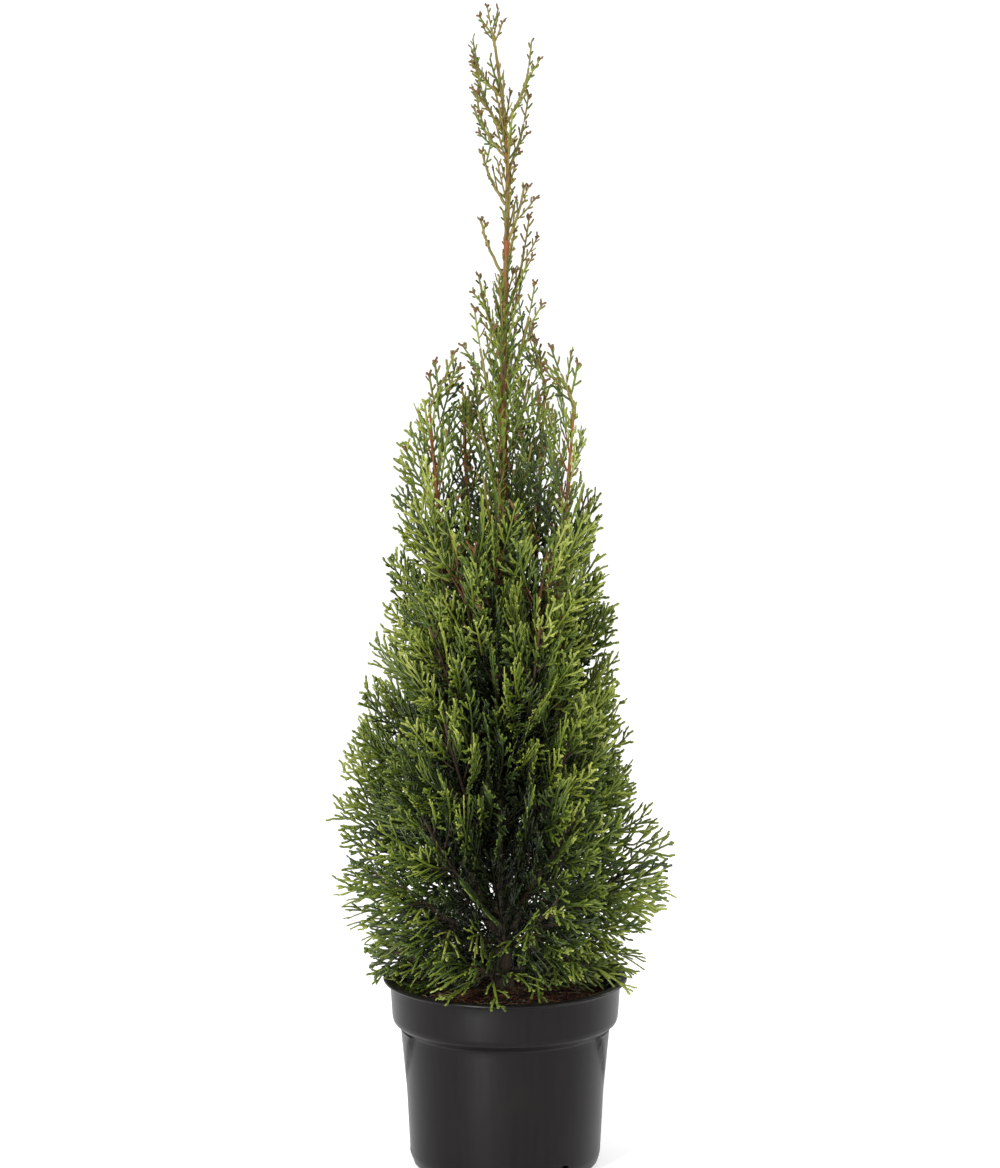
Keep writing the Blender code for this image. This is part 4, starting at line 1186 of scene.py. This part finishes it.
def growSprays(stems, style, leaves, twigs, seed):
    # Shoots on each stem, fronds on the shoots and fingers on the fronds, each drawn as three-sided rods
    rng = np.random.default_rng(seed)
    parts = [shootsOf(stem, style) for stem in stems]
    roots, headings, turnTos, lengths, facings = (np.concatenate(part) for part in zip(*parts))
    count, kind = len(roots), stems[0].kind
    sag = np.full(count, style["sag"])
    low, high = style["beyond"]
    bold = np.repeat([crown["bold"].get(stem.node, 0.0) for stem in stems], style["shoots"])
    proudShare, proudBy = crown["proud"]
    beyond = rng.uniform(low, high, count) + proudBy * (rng.random(count) < proudShare) + bold
    lengths = fitted(roots, headings, turnTos, lengths, style["turn"], sag, beyond, kind)
    paths, ways = shootPaths(roots, headings, turnTos, lengths, style["turn"], sag, 9)
    kept = aboveSoil(paths[:, -1]) > crown["clearOfSoil"]
    kept = kept | (rng.random(count) < crown["overSoil"]) | (kind == "hanging")
    paths, ways, facings, lengths, beyond = (part[kept] for part in (paths, ways, facings, lengths, beyond))
    count = len(paths)
    spray = rng.normal(0, brightness["spray"], count)

    # The inner part of each shoot is woody, the outer part is green
    if style["wood"]:
        inner, _ = along(paths, ways, np.linspace(0, style["wood"] + 0.12, 6))
        thick = np.linspace(*stemRadii["wood"], 4)[None] * np.ones((count, 1))
        carryAlong(twigs, inner, thick, thick, facings, 5)
    green = style["wood"] + (1 - style["wood"]) * np.array((0.0, 0.15, 0.35, 0.55, 0.78, 0.98, 1.0))
    outer, _ = along(paths, ways, green)
    wide = widthsOf(style, (0.86, 1.0, 1.0, 0.95, 0.9), count)
    tone = tonesOf(paths[:, 6], rng, spray, 0.0, kind)
    carryAlong(leaves, outer, wide * 1.1, wide * 0.9, facings, 3, tone)
    if style["budded"]:
        growBuds(leaves, paths, ways, facings, style, rng)

    # Fronds on each shoot
    fronds = childrenOf(paths, ways, facings, lengths, style["fronds"], rng)
    parent = fronds["parent"]
    total = len(parent)
    frondFacing = turned(facings[parent], fronds["headings"], rng.normal(0, style["tilt"], total))
    turnTo = unit(fronds["turnTos"] + up * (style["lift"] - style["droop"] * 3))
    frondSag = np.full(total, style["frondSag"])
    frondBeyond = beyond[parent] + rng.uniform(0.0, crown["frondBeyond"], total)
    starts = fronds["roots"], fronds["headings"], turnTo
    size = fitted(*starts, fronds["lengths"], style["frondTurn"], frondSag, frondBeyond,
                  "free" if kind == "lateral" else kind)
    frondPaths, frondWays = shootPaths(*starts, size, style["frondTurn"], frondSag, 5)
    tone = tonesOf(frondPaths[:, 3], rng, spray[parent], fronds["place"] * 0.6 - 0.3, kind)
    tone = budded(tone, fronds["place"], style["budded"], rng)
    wide = widthsOf(style, (0.9, 1.0, 0.92), total)
    blunt, _ = along(frondPaths, frondWays, (0.0, 0.2, 0.6, 0.95, 1.0))
    carryLeaf(leaves, blunt, wide, frondFacing, tone)
    if not style["fingers"]:
        return total, 0

    # Fingers on each frond: slim and closed, with a waved outline and a blunt tip. The heading goes over to
    # the frond's own direction as curve times s^2
    fingers = childrenOf(frondPaths, frondWays, frondFacing, size, style["fingers"], rng)
    parent = fingers["parent"]
    long = fingers["lengths"]
    s = np.array(finger["stations"])[None, :, None]
    curve = finger["curve"]
    reach = fingers["headings"][:, None] * s * (1 - curve * s) + fingers["turnTos"][:, None] * curve * s * s
    fingerPaths = fingers["roots"][:, None] + reach * long[:, None, None]
    fingerPaths[..., 2] -= style["droop"] * 0.8 * long[:, None] * s[..., 0] ** 2
    fingerPaths = keepOff(fingerPaths)
    wide = style["width"] * rng.uniform(0.86, 1.12, (len(long), 1)) * np.array(finger["widths"])
    brighter = (rng.random(len(long)) < 0.30 + 0.35 * fingers["place"]).astype(int)
    tone = np.where(tone[parent] > palest, tone[parent], np.minimum(tone[parent] + brighter, palest))
    carryLeaf(leaves, fingerPaths, wide, frondFacing[parent], tone)
    return total, len(long)


bud = {
    "start": 0.84,
    "widths": (1.05, 1.35, 1.2),
    "sides": ((1, 0.90), (-1, 0.95)),  # side, and place on the shoot
    "length": (0.0026, 0.0042),
}


def growBuds(leaves, paths, ways, facings, style, rng):
    # The ends of some shoots: a thicker last part and two short side buds, all bronze
    chosen = rng.random(len(paths)) < style["budded"]
    paths, ways, facings = paths[chosen], ways[chosen], facings[chosen]
    count = len(paths)
    end, _ = along(paths, ways, np.linspace(bud["start"], 1.0, 5))
    wide = widthsOf(style, bud["widths"], count)
    carryAlong(leaves, end, wide, wide * 0.8, facings, 5, bronze)
    for sign, share in bud["sides"]:
        root, way = along(paths, ways, (share,))
        side = unit(np.cross(facings, way[:, 0])) * sign
        heading = unit(way[:, 0] * 0.75 + side * 0.66)
        length = rng.uniform(*bud["length"], count)[:, None, None]
        s = np.array((0.0, 0.25, 0.8, 1.0))[None, :, None]
        budPaths = root + heading[:, None] * s * length
        carryAlong(leaves, budPaths, wide[:, :2], wide[:, :2] * 0.8, facings, 5, bronze)


def twigFinish():
    # Grey-brown strips, orange-brown from the middle of the plant upwards
    finish = Finish("twigBark", linear(80, 56, 34), 0.75, 0.3)
    strips = finish.noise(finish.place((1, 1, 0.3)), 700.0, 3.0)
    height = finish.height()
    colour = finish.mixed((strips - 0.34) * 3.0, linear(38, 30, 20), linear(78, 60, 40))
    colour = finish.mixed(((height - 0.40) / 0.16).clipped() * 0.75, colour, linear(156, 92, 46))
    finish.use(colour=colour, normal=finish.bump(strips, 0.4, 0.0004))
    return finish.material


fill = {  # lines up the trunk: start, rise, kind, length of a shoot, seed
    "trunk": (0.02, 0.34, "bough", 0.062, 0.77),
    "trunkFoot": (0.02, 0.15, "bough", 0.082, 0.71),
    "leader": (0.27, 0.43, "lateral", 0.030, 0.78),
    "leaderFoot": (0.25, 0.27, "lateral", 0.050, 0.79),
}
forks = ((0.664, 0.018, 0.044), (0.686, -0.018, 0.024), (0.640, -0.020, 0.030))  # height, across, rise


def fillStems():
    # Lines with no mass of their own: up the trunk and the leader, along each bough, and the leader's forks,
    # which go out by 1 - (1 - u)^1.5
    u = np.linspace(0.0, 1.0, 12)
    lines = {name: [Stem("", trunkPoint(start + rise * u), kind, shootLength, seed)]
             for name, (start, rise, kind, shootLength, seed) in fill.items()}
    lines["boughs"] = [Stem("", boughPoint(name, u), "bough", 0.058, 0.31 + 0.1 * number)
                       for number, name in enumerate(boughs)]
    lines["forks"] = []
    for height, across, rise in forks:
        out = np.array((across, 0.25 * across, 0.0)) * (1 - (1 - u[:, None]) ** 1.5)
        line = trunkPoint(height) + out + up * rise * u[:, None]
        lines["forks"].append(Stem("", line, "tip", 0.022, height, stemRadii["tip"]))
    return lines


def boughTips(stems):
    # A thin leading shoot that goes on from the end of each bough's mass
    tips = []
    for number, stem in enumerate(stems):
        end = stem.at(1.0)
        lean = np.array((-end[0], -end[1], 0)) * 0.20
        line = end + (up * 0.024 + lean) * np.linspace(0, 1, 4)[:, None]
        tips.append(Stem("", line, "tip", 0.029, 0.15 + 0.17 * number, stemRadii["tip"]))
    return tips


def makeFoliage():
    # For each piece: its masses, other stems that are drawn, and the lines and styles of its sprays
    groups = []
    tierMasses, boughMasses, sideShoots, lines = tierStems(), boughStems(), lateralStems(), fillStems()
    tips = boughTips(boughMasses)
    for tier, style in enumerate(("low", "low", "midLow", "mid", "mid", "mid"), start=1):
        masses = [stem for stem in tierMasses if stem.node.startswith(f"foliage_{tier}_")]
        grown = [(masses, style), (masses, "insideLow" if tier < 4 else "inside")]
        if tier < 3:
            fronts = [stem for stem in masses if stem.line[-1, 1] < -0.3 * abs(stem.line[-1, 0])]
            grown.append(([Stem("", stem.line, "hanging", 0.070, stem.seed) for stem in fronts], "hanging"))
        groups.append((f"leaves_tier_{tier}", masses, [], grown))
    groups += [
        ("leaves_bough", boughMasses, tips, [(boughMasses, "bough"), (tips, "tip")]),
        ("leaves_inside", [], [], [(lines["boughs"], "boughInside"), (lines["trunk"], "trunkInside"),
                                   (lines["trunkFoot"], "trunkLow")]),
        ("leaves_leader", sideShoots, lines["forks"], [
            (sideShoots, "lateral"), (lines["leader"], "close"), (lines["forks"], "lateral"),
            (lines["leaderFoot"], "closeLow")]),
    ]
    greens = [Finish(name, linear(*colour), 0.48, 0.32).material for name, colour in leafColours.items()]
    twigs = Bundle()
    for number, (name, masses, others, grown) in enumerate(groups):
        leaves = Bundle()
        growStems(masses + others, leaves, twigs)
        for part, (stems, style) in enumerate(grown):
            counts = growSprays(stems, styles[style], leaves, twigs, 40 + number + 100 * part)
            print(name, style, "fronds and fingers", counts)
        leaves.piece(name, greens, "foliage", [stem.node for stem in masses])
    twigs.piece("twigs", [twigFinish()], "bark")


# Studio

studio = {  # place, width and height in metres, watts
    "world": 0.30,
    "lamps": {
        "key": ((-1.7, -2.3, 2.3), 1.0, 1.0, 104),
        "strip": ((-0.51, -1.09, 0.17), 0.05, 0.32, 20),
        "fill": ((2.3, -1.5, 1.2), 1.0, 1.6, 26),
        "rimLeft": ((-1.7, 1.3, 2.3), 0.8, 1.0, 6),
        "rimRight": ((1.9, 1.1, 1.3), 0.8, 1.6, 26),
    },
    "glossOnly": ("strip",),  # lamps seen in reflections alone
    "aim": (0, 0, 0.45),
    "floorGlow": 0.42,
    "floorSweep": 1.5,
    "sweepFrom": 2.5,
    "floorHalf": 4,
    "floorBack": 5,
    "wallHeight": 4,
    "floorRows": 40,
    "floorColumns": 9,
}


def makeStudio(s):
    world = bpy.data.worlds.new("softWhite")
    world.use_nodes = True
    background = world.node_tree.nodes["Background"]
    background.inputs["Color"].default_value = (1.0, 1.0, 1.0, 1.0)
    background.inputs["Strength"].default_value = s["world"]
    bpy.context.scene.world = world
    bpy.context.scene.view_settings.view_transform = "Standard"
    for name, (place, width, height, power) in s["lamps"].items():
        light = bpy.data.lights.new(name, "AREA")
        light.shape, light.size, light.size_y, light.energy = "RECTANGLE", width, height, power
        lamp = bpy.data.objects.new(name, light)
        lamp.location = place
        lamp.visible_diffuse = name not in s["glossOnly"]
        way = np.array(place) - s["aim"]
        lamp.rotation_euler = (math.atan2(math.hypot(way[0], way[1]), way[2]), 0,
                               math.atan2(way[1], way[0]) + math.pi / 2)
        bpy.context.scene.collection.objects.link(lamp)


def makeFloor(s):
    # A pale floor that sweeps up far behind: flat, then a quarter circle, then straight up
    half, rows, columns = s["floorHalf"], s["floorRows"], s["floorColumns"]
    x, y = np.meshgrid(np.linspace(-half, half, columns), np.linspace(-half, s["floorBack"], rows))
    sweep, end = s["floorSweep"], s["sweepFrom"] + s["floorSweep"]
    past = np.clip(y - s["sweepFrom"], 0, sweep)
    rise = sweep - np.sqrt(sweep**2 - past**2) + np.maximum(0, y - end) * s["wallHeight"]
    grid = np.stack([x, np.minimum(y, end), rise], axis=-1)
    bundle = Bundle()
    cells = cellsOf(rows, columns, False)
    bundle.add(grid, cells, np.full(len(cells), 4))
    finish = Finish("paleFloor", (0.86, 0.86, 0.86), 0.9, 0.1)
    finish.shader.inputs["Emission Color"].default_value = (1, 1, 1, 1)
    finish.shader.inputs["Emission Strength"].default_value = s["floorGlow"]
    floor = bpy.data.objects.new("paleFloor", bundle.mesh("paleFloor", [finish.material], True))
    bpy.context.scene.collection.objects.link(floor)


makePot(pot)
print("pot made")
makeSoil(soil)
print("soil made")
makeTrunk()
makeBoughs()
print("limbs made")
makeFoliage()
print("foliage made")
makeStudio(studio)
makeFloor(studio)
print("studio made")
